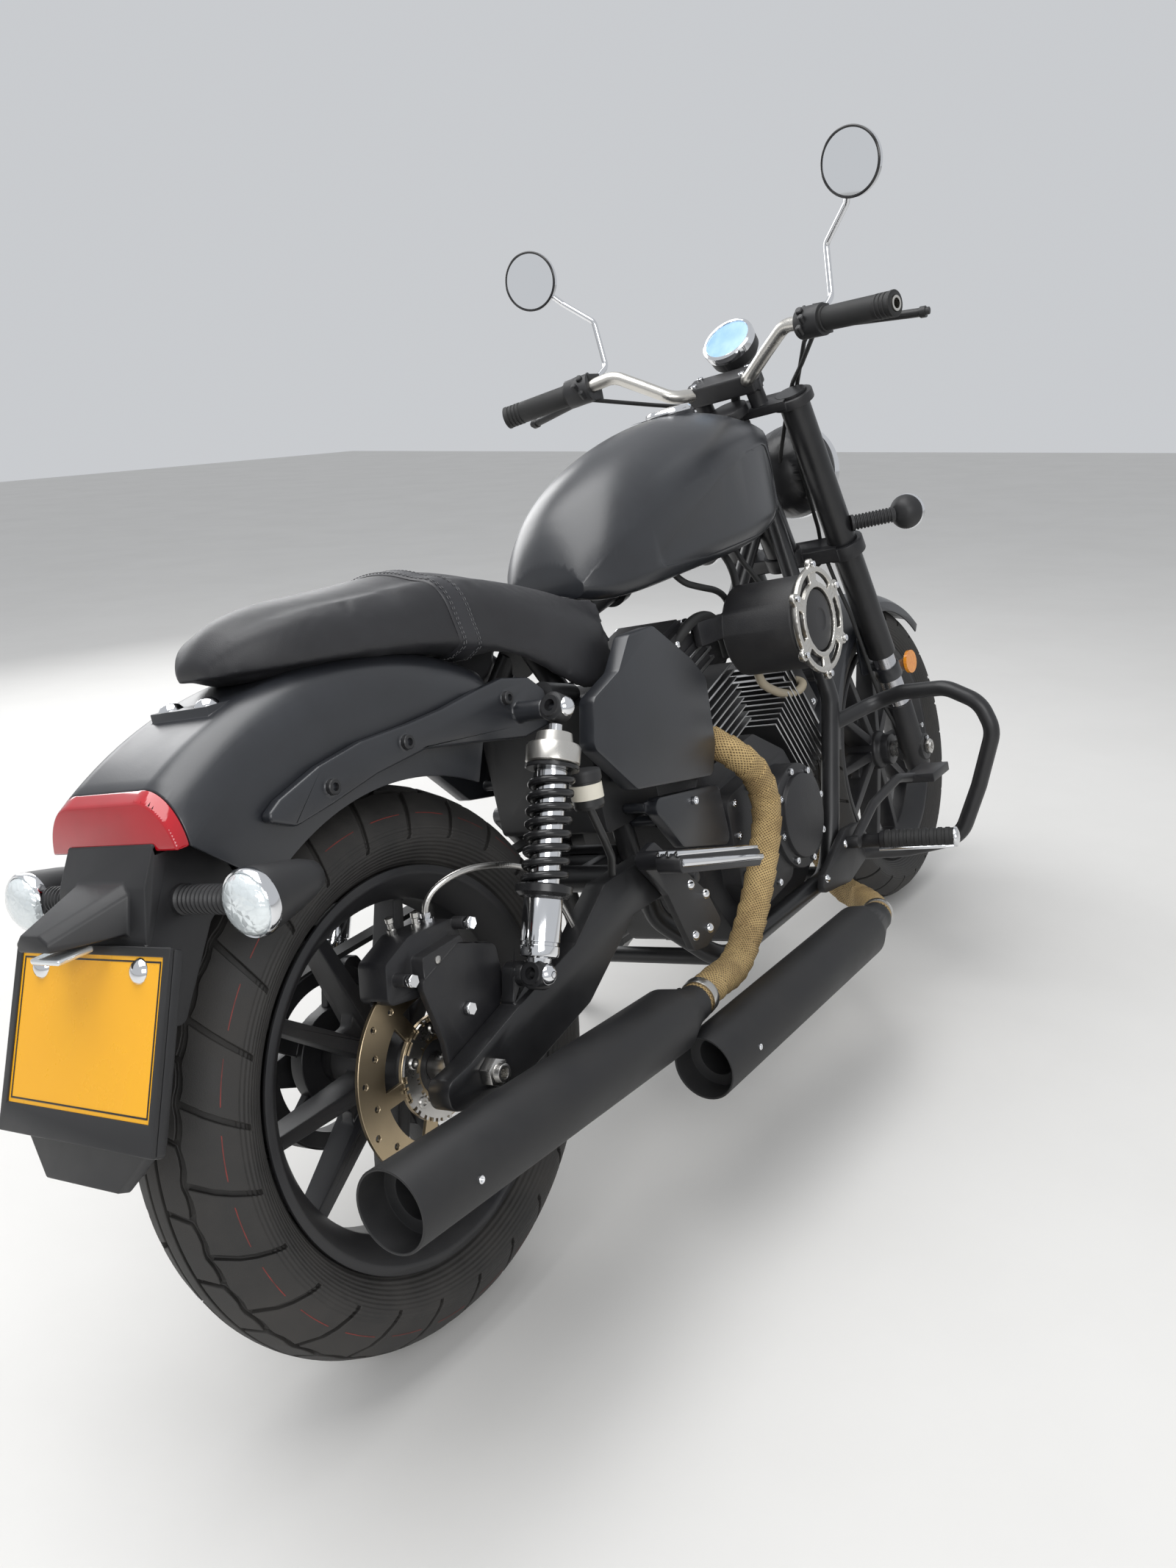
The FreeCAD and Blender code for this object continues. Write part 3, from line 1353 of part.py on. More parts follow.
def reservoir():
    """Rear brake fluid cup with its hose and stay."""
    cup = turned([(0, 0), (17, 0), (19, 4), (19, 42), (16, 46), (0, 46)], (-452, -156, 520), (0.05, 0, 1))
    hose = pipe([(-452, -156, 521), (-440, -158, 480), (-424, -152, 450), (-416, -140, 418)], 5, 30)
    stay = rod((-440, -140, 556), (-432, -112, 630), 5)
    return fused([cup, hose, stay]).cut(strut_cover()).cut(swingarm())


def side_stand():
    """Leg that turns on its pivot, with a flat foot on the ground."""
    pivot = Vector(stand_pivot_x, stand_pivot_y, stand_pivot_z)
    foot_level = ground_z(stand_foot_y)
    foot = Vector(stand_foot_x, stand_foot_y, foot_level + 8)
    up = Vector(0, -math.sin(math.radians(lean)), math.cos(math.radians(lean)))
    pad = Part.makeCylinder(26, 7, Vector(stand_foot_x, stand_foot_y, foot_level), up)
    leg = Part.makeCylinder(stand_tube_radius, (foot - pivot).Length, pivot, foot - pivot)
    axis = stand_axis()
    knuckle = Part.makeCylinder(20, 24, pivot - axis * 12, axis)
    body = fused([leg, knuckle, pad])
    return body.cut(Part.makeCylinder(8 + running_gap, 60, pivot - axis * 30, axis))


def stand_axis():
    """Unit direction of the side stand's pivot."""
    return Vector(0, 0.674, 0.739).normalize()


def stand_bracket():
    """Gusset and ear with the side stand's pivot pin, welded to the left rail."""
    pivot = Vector(stand_pivot_x, stand_pivot_y, stand_pivot_z)
    axis = stand_axis()
    pin = Part.makeCylinder(8, 46, pivot - axis * 22, axis)
    ear = Part.makeCylinder(20, 9.5, pivot - axis * 22, axis)
    foot = pivot - axis * 17.25
    knee = foot + axis.cross(Vector(1, 0, 0)) * -27
    rail = Vector(stand_pivot_x, rail_y, rail_z)
    return fused([pin, ear, flat_bar(foot, knee, 32, 9.5), flat_bar(knee, rail, 32, 9.5)])


NODES = {
    "frame": lambda: fused([frame(), stand_bracket(), pivot_bolt()]),
    "swingarm": swingarm,
    "rear_axle": rear_axle,
    "drive_belt": drive_belt,
    "front_pulley": front_pulley,
    "rear_caliper": rear_caliper,
    "rear_fender": rear_fender,
    "strut_covers": lambda: both_sides(strut_cover()),
    "tail_light": tail_light,
    "plate_holder": plate_holder,
    "number_plate": number_plate,
    "rear_signals": rear_signals,
    "seat": seat,
    "fuel_tank": fuel_tank,
    "tank_cap": tank_cap,
    "side_covers": side_covers,
    "battery_box": battery_box,
    "crankcase": crankcase,
    "cylinders": cylinders,
    "cylinder_heads": cylinder_heads,
    "air_cleaner": air_cleaner,
    "air_cleaner_ring": air_cleaner_ring,
    "exhaust_headers": exhaust_headers,
    "mufflers": mufflers,
    "radiator": radiator,
    "foot_pegs": foot_pegs,
    "brake_pedal": brake_pedal,
    "shift_lever": shift_lever,
    "engine_guards": lambda: both_sides(engine_guards()),
    "shock_bodies": lambda: grouped([shock_body(-1), shock_body(1)]),
    "shock_springs": lambda: grouped([shock_spring(-1), shock_spring(1)]),
    "reservoir": reservoir,
    "rear_wheel": lambda: cast_wheel(rear_x, rear_tyre_radius, rear_rim_width, rear_hub_length,
                                     rear_axle_radius),
    "rear_tyre": lambda: tyre(rear_x, rear_tyre_radius, rear_tyre_radius, rear_tyre_width,
                              rear_crown_radius, rear_rim_width),
    "rear_disc": lambda: brake_disc(rear_x, rear_tyre_radius, -rear_hub_length / 2.0 - disc_thickness,
                                    rear_disc_radius),
    "rear_pulley": rear_pulley,
    "fork_uppers": lambda: grouped([fork_upper(-1), fork_upper(1)]),
    "fork_lowers": lambda: grouped([fork_lower(-1), fork_lower(1)]),
    "triple_clamps": triple_clamps,
    "handlebar": handlebar,
    "hand_controls": hand_controls,
    "mirrors": mirrors,
    "gauge": gauge,
    "headlight": headlight,
    "front_signals": front_signals,
    "front_fender": front_fender,
    "front_caliper": front_caliper,
    "front_axle": front_axle,
    "cables": cables,
    "reflectors": reflectors,
    "front_wheel": lambda: cast_wheel(front_x, front_tyre_radius, front_rim_width, front_hub_length,
                                      front_axle_radius),
    "front_tyre": lambda: tyre(front_x, front_tyre_radius, front_tyre_radius, front_tyre_width,
                               front_crown_radius, front_rim_width),
    "front_disc": front_disc,
    "side_stand": side_stand,
}


def leaned():
    """Every node leaned onto its side stand, with the origin under the middle of the whole."""
    turn = Placement(Vector(0, 0, ground_lift), Rotation(Vector(1, 0, 0), -lean))
    shapes = {}
    box = FreeCAD.BoundBox()
    for name, make in NODES.items():
        shape = make().copy()
        shape.Placement = turn.multiply(shape.Placement)
        shapes[name] = shape
        box.add(shape.optimalBoundingBox(True, False))
    shift = Vector(-box.Center.x, -box.Center.y, 0)
    for shape in shapes.values():
        shape.translate(shift)
    return shapes, Placement(shift, Rotation()).multiply(turn), box


if __name__ == "__main__":
    os.makedirs("parts", exist_ok=True)
    for name, shape in leaned()[0].items():
        shape.exportStep("parts/" + name + ".step")
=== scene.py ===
# %% [markdown]
# # A cruiser motorcycle on its side stand
# The solids of the machine come in as a fixed frame. The cells below give each of them its finish and
# model what a solid can't show: tread, leather, wrapped pipes, springs, bolts, lenses and cables.
# Everything stays in metres and in the place that the frame gives.

# %% Load the frame
import json
import math

import bpy
from mathutils import Matrix, Vector

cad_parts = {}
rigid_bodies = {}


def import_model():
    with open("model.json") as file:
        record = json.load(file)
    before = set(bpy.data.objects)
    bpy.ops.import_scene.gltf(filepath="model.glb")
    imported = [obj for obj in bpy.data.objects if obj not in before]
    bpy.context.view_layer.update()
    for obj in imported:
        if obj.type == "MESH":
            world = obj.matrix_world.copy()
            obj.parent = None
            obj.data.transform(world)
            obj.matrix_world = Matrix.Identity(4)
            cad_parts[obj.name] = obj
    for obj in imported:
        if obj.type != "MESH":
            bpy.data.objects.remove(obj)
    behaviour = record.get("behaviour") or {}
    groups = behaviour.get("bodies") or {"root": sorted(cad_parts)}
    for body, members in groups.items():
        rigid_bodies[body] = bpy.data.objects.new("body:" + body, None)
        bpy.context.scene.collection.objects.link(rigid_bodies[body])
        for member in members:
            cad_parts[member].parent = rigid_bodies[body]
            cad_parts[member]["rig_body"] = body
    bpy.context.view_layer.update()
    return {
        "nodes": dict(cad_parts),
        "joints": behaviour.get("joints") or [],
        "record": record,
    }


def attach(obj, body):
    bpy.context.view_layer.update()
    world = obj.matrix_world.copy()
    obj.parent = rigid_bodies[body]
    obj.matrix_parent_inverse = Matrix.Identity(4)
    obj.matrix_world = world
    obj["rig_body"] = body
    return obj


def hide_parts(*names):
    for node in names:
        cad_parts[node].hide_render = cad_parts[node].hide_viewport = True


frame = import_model()
bpy.ops.object.select_all(action="DESELECT")

# %% [markdown]
# ## The leaning frame of reference
# A motorcycle is easiest to model upright, with X forwards from the middle of the wheelbase and Z up
# from the ground. The real one leans on its stand, and the wheel spindle's direction tells by how much.
# One matrix built from the spindles takes each upright piece to its place.

# %% Upright to leaning


def joint_of(body):
    """The joint that carries a body."""
    return next(j for j in frame["joints"] if j["child"] == body)


rear_axle = Vector(joint_of("rear_wheel")["pos_m"])
front_axle = Vector(joint_of("front_wheel")["pos_m"])
forward = Vector((1, 0, 0))
leftward = Vector(joint_of("rear_wheel")["axis"])
upward = forward.cross(leftward)
wheelbase = (front_axle - rear_axle).dot(forward)
rear_radius = 0.310
front_radius = 0.299
REAR = Vector((-wheelbase / 2, 0, rear_radius))
FRONT = Vector((wheelbase / 2, 0, front_radius))
lean = Matrix((forward, leftward, upward)).transposed().to_4x4()
lean.translation = rear_axle - lean.to_3x3() @ REAR
print("lean, degrees:", round(math.degrees(math.acos(upward.z)), 2))

# %% [markdown]
# ## Camera and studio
# The camera stands where the photographer stood: low behind the right rear, a little tilted. A large
# soft panel overhead, one behind the camera and a faint one on the far side light the black paint by
# their reflections, as a product studio does.

# %% Camera, floor and lamps
camera_place = Vector((-1.566, -0.986, 1.021))
camera_heading = 34.14
camera_dip = 17.87
camera_roll = -1.90
frame_long_side = 2133
focal_pixels = 1695

camera_data = bpy.data.cameras.new("camera")
camera_data.sensor_width = 36.0
camera_data.lens = focal_pixels * camera_data.sensor_width / frame_long_side
camera_data.clip_start = 0.02
camera_data.clip_end = 100.0
camera = bpy.data.objects.new("camera", camera_data)
turn = Matrix.Rotation(math.radians(camera_heading - 90), 4, "Z")
dip = Matrix.Rotation(math.radians(90 - camera_dip), 4, "X")
roll = Matrix.Rotation(math.radians(camera_roll), 4, "Z")
camera.matrix_world = Matrix.Translation(camera_place) @ turn @ dip @ roll
bpy.context.scene.collection.objects.link(camera)
bpy.context.scene.camera = camera
bpy.context.scene.view_settings.view_transform = "Standard"


def soft_panel(name, place, target, width, height, watts):
    """A rectangular lamp that faces a point."""
    data = bpy.data.lights.new(name, "AREA")
    data.shape = "RECTANGLE"
    data.size = width
    data.size_y = height
    data.energy = watts
    lamp = bpy.data.objects.new(name, data)
    lamp.location = place
    lamp.rotation_euler = (Vector(target) - Vector(place)).to_track_quat("-Z", "Y").to_euler()
    bpy.context.scene.collection.objects.link(lamp)
    return lamp


middle = (0.0, 0.0, 0.5)
soft_panel("overhead_panel", (-0.6, 0.6, 3.4), middle, 3.6, 2.4, 95)
soft_panel("camera_panel", (-2.8, -2.6, 2.2), middle, 2.2, 1.6, 55)
soft_panel("far_panel", (1.2, 3.2, 1.8), middle, 2.4, 1.6, 40)

world = bpy.data.worlds.new("studio")
bpy.context.scene.world = world
world.use_nodes = True
sky = world.node_tree
background = sky.nodes["Background"]
background.inputs["Color"].default_value = (0.78, 0.80, 0.83, 1)
background.inputs["Strength"].default_value = 0.75

bpy.ops.mesh.primitive_plane_add(size=30, location=(0, 0, 0))
floor = bpy.context.object
floor.name = "floor"

# %% [markdown]
# ## Finishes
# Most of the machine is black, so the finishes differ by gloss, grain and dust more than by colour.
# Two shared node groups give every finish its life: one mottles colour and gloss over the surface, the
# other raises a fine grain.

# %% Shared groups


def new_group(name, inputs, outputs):
    """An empty shader group with named float or colour sockets."""
    group = bpy.data.node_groups.new(name, "ShaderNodeTree")
    for label, kind, value in inputs:
        socket = group.interface.new_socket(label, in_out="INPUT", socket_type=kind)
        socket.default_value = value
    for label, kind in outputs:
        group.interface.new_socket(label, in_out="OUTPUT", socket_type=kind)
    start = group.nodes.new("NodeGroupInput")
    end = group.nodes.new("NodeGroupOutput")
    return group, start, end


FLOAT, COLOUR = "NodeSocketFloat", "NodeSocketColor"


def add_node(tree, kind, values=None, **settings):
    """A shader node with its settings; a socket given as a value is linked in, any other value is set."""
    node = tree.nodes.new("ShaderNode" + kind)
    for key, value in settings.items():
        setattr(node, key, value)
    for label, value in (values or {}).items():
        if isinstance(value, bpy.types.NodeSocket):
            tree.links.new(value, node.inputs[label])
        else:
            node.inputs[label].default_value = value
    return node


def mottle_group():
    """Soft patches of a second colour and of roughness, on Object coordinates."""
    group, start, end = new_group(
        "mottle",
        [("Base", COLOUR, (0.02, 0.02, 0.02, 1)), ("Patch", COLOUR, (0.05, 0.05, 0.05, 1)),
         ("Amount", FLOAT, 0.3), ("Scale", FLOAT, 9.0), ("Gloss low", FLOAT, 0.4),
         ("Gloss high", FLOAT, 0.6)],
        [("Color", COLOUR), ("Roughness", FLOAT)],
    )
    given = start.outputs
    place = add_node(group, "TexCoord").outputs["Object"]
    noise = add_node(group, "TexNoise", {"Vector": place, "Scale": given["Scale"], "Detail": 6,
                                         "Roughness": 0.62})
    spread = add_node(group, "MapRange", {"Value": noise.outputs["Fac"], "From Min": 0.38, "From Max": 0.68})
    spread = spread.outputs["Result"]
    share = add_node(group, "Math", {0: spread, 1: given["Amount"]}, operation="MULTIPLY")
    mix = add_node(group, "Mix", {0: share.outputs[0], 6: given["Base"], 7: given["Patch"]}, data_type="RGBA")
    gloss = add_node(group, "MapRange", {"Value": spread, "To Min": given["Gloss low"],
                                         "To Max": given["Gloss high"]})
    group.links.new(mix.outputs[2], end.inputs["Color"])
    group.links.new(gloss.outputs["Result"], end.inputs["Roughness"])
    return group


def grain_group():
    """Height of a fine grain, from a noise and a cell pattern."""
    group, start, end = new_group("grain", [("Scale", FLOAT, 900.0), ("Cells", FLOAT, 0.0)], [("Height",
                                                                                               FLOAT)])
    place = add_node(group, "TexCoord").outputs["Object"]
    over = {"Vector": place, "Scale": start.outputs["Scale"]}
    noise = add_node(group, "TexNoise", {**over, "Detail": 3})
    cells = add_node(group, "TexVoronoi", over, feature="DISTANCE_TO_EDGE")
    mix = add_node(group, "Mix", {0: start.outputs["Cells"], 2: noise.outputs["Fac"],
                                  3: cells.outputs["Distance"]})
    group.links.new(mix.outputs[0], end.inputs["Height"])
    return group


MOTTLE = mottle_group()
GRAIN = grain_group()

# %% Finish table


def shader_of(name):
    """A new material and its Principled shader."""
    material = bpy.data.materials.new(name)
    material.use_nodes = True
    return material, material.node_tree, material.node_tree.nodes["Principled BSDF"]


def placed_group(tree, group, values):
    """The group in a material, with its own values."""
    node = tree.nodes.new("ShaderNodeGroup")
    node.node_tree = group
    for label, value in values.items():
        node.inputs[label].default_value = value
    return node


def mottled(tree, shader, base, patch, amount, scale, gloss):
    """Gives a shader its mottled colour and gloss."""
    node = placed_group(tree, MOTTLE, {"Base": (*base, 1), "Patch": (*patch, 1), "Amount": amount,
                                       "Scale": scale, "Gloss low": gloss[0], "Gloss high": gloss[1]})
    tree.links.new(node.outputs["Color"], shader.inputs["Base Color"])
    tree.links.new(node.outputs["Roughness"], shader.inputs["Roughness"])
    return node


def raised(tree, shader, height, depth):
    """Bumps a shader's surface by a height."""
    bump = add_node(tree, "Bump", {"Height": height, "Strength": 1.0, "Distance": depth})
    tree.links.new(bump.outputs["Normal"], shader.inputs["Normal"])


COAT_ROUGHNESS = 0.1


def finish(name, base, patch, amount, gloss, metal=0.0, patch_scale=9.0, grain=900.0, depth=0.0,
           cells=0.0, coat=0.0, specular=0.5):
    """One finish: mottled colour and gloss, a grain and the shader's own plain values."""
    material, tree, shader = shader_of(name)
    mottled(tree, shader, base, patch, amount, patch_scale, gloss)
    for label, value in (("Metallic", metal), ("Coat Weight", coat), ("Coat Roughness", COAT_ROUGHNESS),
                         ("Specular IOR Level", specular)):
        shader.inputs[label].default_value = value
    if depth:
        grains = placed_group(tree, GRAIN, {"Scale": grain, "Cells": cells})
        raised(tree, shader, grains.outputs["Height"], depth)
    return material


SATIN_BLACK = finish("satin_black_paint", (0.012, 0.013, 0.016), (0.032, 0.036, 0.044), 0.35,
                     (0.29, 0.39), grain=420, depth=0.00006, patch_scale=5, specular=0.75)
FRAME_BLACK = finish("powder_coated_tube", (0.012, 0.012, 0.013), (0.04, 0.04, 0.042), 0.3,
                     (0.30, 0.42), grain=900, depth=0.00008)
CAST_BLACK = finish("cast_wheel_paint", (0.012, 0.012, 0.014), (0.045, 0.043, 0.04), 0.35,
                    (0.38, 0.52), grain=700, depth=0.00010)
ENGINE_BLACK = finish("wrinkle_engine_paint", (0.014, 0.014, 0.016), (0.05, 0.048, 0.045), 0.35,
                      (0.42, 0.58), grain=520, depth=0.00025)
MUFFLER_BLACK = finish("matt_muffler_paint", (0.010, 0.010, 0.011), (0.028, 0.027, 0.026), 0.4,
                       (0.50, 0.62), grain=1100, depth=0.00008)
MOULDED_BLACK = finish("moulded_black_plastic", (0.014, 0.014, 0.015), (0.035, 0.035, 0.037), 0.25,
                       (0.42, 0.56), grain=1500, depth=0.00010, cells=0.5)
RUBBER = finish("tyre_rubber", (0.018, 0.017, 0.016), (0.06, 0.055, 0.05), 0.4,
                (0.62, 0.80), grain=900, depth=0.00012, patch_scale=14)
GRIP_RUBBER = finish("grip_rubber", (0.012, 0.012, 0.012), (0.03, 0.03, 0.03), 0.3,
                     (0.55, 0.70), grain=1400, depth=0.00012)
CHROME = finish("chrome_plate", (0.80, 0.81, 0.83), (0.70, 0.70, 0.71), 0.4, (0.06, 0.14), metal=1.0)
BRIGHT_STEEL = finish("zinc_plated_steel", (0.58, 0.57, 0.55), (0.42, 0.40, 0.37), 0.5,
                      (0.22, 0.38), metal=1.0, grain=1200, depth=0.00005)
BAR_SILVER = finish("brushed_bar_metal", (0.66, 0.64, 0.60), (0.50, 0.48, 0.44), 0.4,
                    (0.24, 0.34), metal=1.0, grain=1400, depth=0.00004)
FORK_SILVER = finish("fork_leg_metal", (0.62, 0.62, 0.64), (0.5, 0.5, 0.52), 0.3,
                     (0.2, 0.32), metal=1.0)
DISC_BRONZE = finish("brake_disc_steel", (0.42, 0.33, 0.21), (0.30, 0.25, 0.18), 0.5,
                     (0.26, 0.4), metal=1.0, grain=700, depth=0.00005)
LEATHER = finish("seat_leather", (0.014, 0.014, 0.016), (0.04, 0.04, 0.044), 0.35,
                 (0.40, 0.55), grain=620, depth=0.00022, cells=0.75)
HEADER_WRAP = finish("woven_heat_wrap", (0.50, 0.37, 0.19), (0.30, 0.21, 0.10), 0.6,
                     (0.72, 0.86), grain=500, depth=0.0004)
BELT_RUBBER = finish("belt_rubber", (0.016, 0.016, 0.016), (0.035, 0.035, 0.035), 0.3, (0.6, 0.75))
SPRING_BLACK = finish("spring_paint", (0.010, 0.010, 0.011), (0.03, 0.03, 0.03), 0.3, (0.2, 0.3))
RED_LENS = finish("red_lens", (0.36, 0.002, 0.008), (0.52, 0.006, 0.018), 0.5, (0.06, 0.1), coat=0.6)
RED_LINE = finish("red_tyre_line", (0.20, 0.022, 0.016), (0.06, 0.02, 0.018), 0.9, (0.6, 0.7), patch_scale=60)
CLEAR_LENS = finish("clear_lens_over_reflector", (0.74, 0.78, 0.80), (0.9, 0.92, 0.93), 0.5,
                    (0.06, 0.14), metal=0.6, coat=0.6)
AMBER_LENS = finish("amber_reflector", (0.85, 0.26, 0.01), (0.95, 0.42, 0.03), 0.6, (0.1, 0.16),
                    patch_scale=160, grain=520, depth=0.0002, cells=1.0, coat=0.6)
PLATE_YELLOW = finish("plate_yellow_paint", (0.86, 0.42, 0.01), (0.80, 0.36, 0.01), 0.3, (0.25, 0.35))
CUP_PLASTIC = finish("brake_cup_plastic", (0.02, 0.02, 0.02), (0.04, 0.04, 0.04), 0.3, (0.3, 0.4))
FIN_METAL = finish("fin_black_with_bright_edges", (0.02, 0.02, 0.021), (0.05, 0.05, 0.05), 0.3,
                   (0.35, 0.5), grain=700, depth=0.0002)

finish_of_slot = {
    "satin_black": SATIN_BLACK, "frame_black": FRAME_BLACK, "cast_black": CAST_BLACK,
    "engine_black": ENGINE_BLACK, "fin_metal": FIN_METAL, "tyre_rubber": RUBBER,
    "disc_steel": DISC_BRONZE, "bright_steel": BRIGHT_STEEL, "chrome": CHROME,
    "silver_bar": BAR_SILVER, "fork_silver": FORK_SILVER, "leather_black": LEATHER,
    "heat_wrap": HEADER_WRAP, "muffler_black": MUFFLER_BLACK, "moulded_black": MOULDED_BLACK,
    "belt_rubber": BELT_RUBBER, "spring_black": SPRING_BLACK, "lens_red": RED_LENS,
    "lens_clear": CLEAR_LENS, "plate_yellow": PLATE_YELLOW, "cup_plastic": CUP_PLASTIC,
    "lens_amber": AMBER_LENS,
}

# %% Paint the solids
node_slot = {row["node"]: row["material_slot"] for row in frame["record"]["subparts"]}
for name, solid in frame["nodes"].items():
    solid.data.materials.clear()
    solid.data.materials.append(finish_of_slot[node_slot[name]])

# %% [markdown]
# ## Working by hand, in code
# Each piece starts as a primitive or a line of points, is shaped in edit mode and finished with
# modifiers that are applied at once. These helpers do the clicks that every piece shares: choose it,
# enter edit mode, apply what hangs on it, and at the end lean it into place, paint it and let it ride.

# %% Shared steps
MM = 0.001
SMOOTH_ANGLE = 35
EDGE_ANGLE = 32
ROUTE_STEPS = 16
body_of_node = {name: solid["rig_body"] for name, solid in frame["nodes"].items()}


def choose(*pieces):
    """Select these objects alone; the last one is active."""
    bpy.ops.object.select_all(action="DESELECT")
    for piece in pieces:
        piece.select_set(True)
    bpy.context.view_layer.objects.active = pieces[-1]
    return pieces[-1]


def in_edit(piece, *steps):
    """Runs operators in edit mode on the whole piece."""
    choose(piece)
    bpy.ops.object.mode_set(mode="EDIT")
    bpy.ops.mesh.select_all(action="SELECT")
    for step in steps:
        step()
    bpy.ops.object.mode_set(mode="OBJECT")
    return piece


def with_modifier(piece, kind, **values):
    """Adds a modifier, sets it and applies it."""
    choose(piece)
    modifier = piece.modifiers.new(kind.lower(), kind)
    for key, value in values.items():
        setattr(modifier, key, value)
    bpy.ops.object.modifier_apply(modifier=modifier.name)
    return piece


def rounded(piece, width=0.0012, segments=2, angle=30, clamped=True):
    """Rounds the sharp edges; one short edge would thin all of them where the width is clamped."""
    return with_modifier(piece, "BEVEL", width=width, segments=segments, limit_method="ANGLE",
                         angle_limit=math.radians(angle), use_clamp_overlap=clamped)


def pick_faces(piece, wanted):
    """Selects the faces that a test on the face accepts, for the next edit step."""
    choose(piece)
    bpy.ops.object.mode_set(mode="EDIT")
    bpy.ops.mesh.select_mode(type="FACE")
    bpy.ops.mesh.select_all(action="DESELECT")
    bpy.ops.object.mode_set(mode="OBJECT")
    for face in piece.data.polygons:
        face.select = wanted(face)
    bpy.ops.object.mode_set(mode="EDIT")


def joined(name, pieces):
    """Several pieces made one."""
    whole = choose(*pieces)
    if len(pieces) > 1:
        bpy.ops.object.join()
    whole.name = name
    return whole


def linked(name, mesh):
    """A new object of a mesh, in the scene."""
    piece = bpy.data.objects.new(name, mesh)
    bpy.context.scene.collection.objects.link(piece)
    return piece


def doubled(piece):
    """The piece and its mirror image on the other side, as one."""
    twin = linked(piece.name, piece.data.copy())
    twin.data.transform(Matrix.Diagonal((1, -1, 1, 1)))
    twin.data.flip_normals()
    return joined(piece.name, [twin, piece])


def merged(distance):
    """An edit step that merges points closer than a distance."""
    return lambda: bpy.ops.mesh.remove_doubles(threshold=distance)


def outward():
    """An edit step that turns all faces to the outside."""
    bpy.ops.mesh.select_all(action="SELECT")
    bpy.ops.mesh.normals_make_consistent(inside=False)


def closed_ends():
    """An edit step that puts a face over each open end."""
    bpy.ops.mesh.select_mode(type="EDGE")
    bpy.ops.mesh.select_non_manifold(extend=False, use_boundary=True, use_wire=False, use_multi_face=False,
                                     use_non_contiguous=False, use_verts=False)
    bpy.ops.mesh.edge_face_add()


def place_of(point):
    """A point in metres from millimetres in the upright machine."""
    return Vector(point) * MM


def flipped(points):
    """The same points on the other side of the machine."""
    return [(x, -y, z) for x, y, z in points]


def settle(piece, material, body, replaces=(), smooth=SMOOTH_ANGLE, leaning=False):
    """Leans an upright piece into place, paints it, and lets it ride on a body."""
    choose(piece)
    bpy.ops.object.transform_apply(location=True, rotation=True, scale=True)
    if not leaning:
        piece.data.transform(lean)
    piece.data.update()
    if smooth:
        bpy.ops.object.shade_smooth_by_angle(angle=math.radians(smooth))
    if material:
        piece.data.materials.clear()
        piece.data.materials.append(material)
    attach(piece, body)
    if replaces:
        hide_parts(*replaces)
    print(piece.name, len(piece.data.polygons), "faces")
    return piece


def facing(direction, place):
    """A matrix that turns +Z to a direction and moves the origin to a place."""
    return Matrix.Translation(Vector(place)) @ Vector(direction).to_track_quat("Z", "Y").to_matrix().to_4x4()


def bar(name, start, end, radius, sides=24, rim=0.0):
    """Round bar between two points, its end edges rounded by a rim."""
    start, end = Vector(start), Vector(end)
    bpy.ops.mesh.primitive_cylinder_add(vertices=sides, radius=radius, depth=(end - start).length)
    piece = bpy.context.object
    piece.name = name
    piece.data.transform(facing(end - start, (start + end) / 2))
    if rim:
        rounded(piece, rim, 2, 60)
    return piece


def turned(name, profile, centre, axis, steps=64):
    """(radius, height) pairs in millimetres spun round an axis, closed where they meet the axis."""
    mesh = bpy.data.meshes.new(name)
    mesh.from_pydata([(r * MM, 0, h * MM) for r, h in profile], [(i, i + 1) for i in range(len(profile) - 1)],
                     [])
    piece = linked(name, mesh)
    in_edit(
        piece,
        lambda: bpy.ops.mesh.spin(steps=steps, angle=2 * math.pi, center=(0, 0, 0), axis=(0, 0, 1)),
        lambda: bpy.ops.mesh.select_all(action="SELECT"),
        merged(0.00001),
        outward,
    )
    piece.data.transform(facing(axis, centre))
    return piece


def block(name, centre, size, tilt=0.0):
    """A box of a size in metres, tilted about the cross axis."""
    bpy.ops.mesh.primitive_cube_add(size=1)
    piece = bpy.context.object
    piece.name = name
    piece.data.transform(Matrix.Translation(place_of(centre)) @ Matrix.Rotation(math.radians(tilt), 4, "Y")
                         @ Matrix.Diagonal((*size, 1)))
    return piece

# %% [markdown]
# ## Tyres
# The tyres have a road-and-track pattern: long shoulder blocks with slanted gaps, a zigzag groove inside
# them and short cuts in the middle. The tread is laid out as one flat grid of all the pitches, each pitch
# the same pattern of marked faces between the blocks. The grid is rolled round the wheel so that its width
# follows the round section, and the marked faces are then pushed in. Carving a finished ring would need a
# thousand cuts instead of one repeated pattern.

# %% The section of a tyre
lip_out = 0.2215
tyre_wall = 0.011


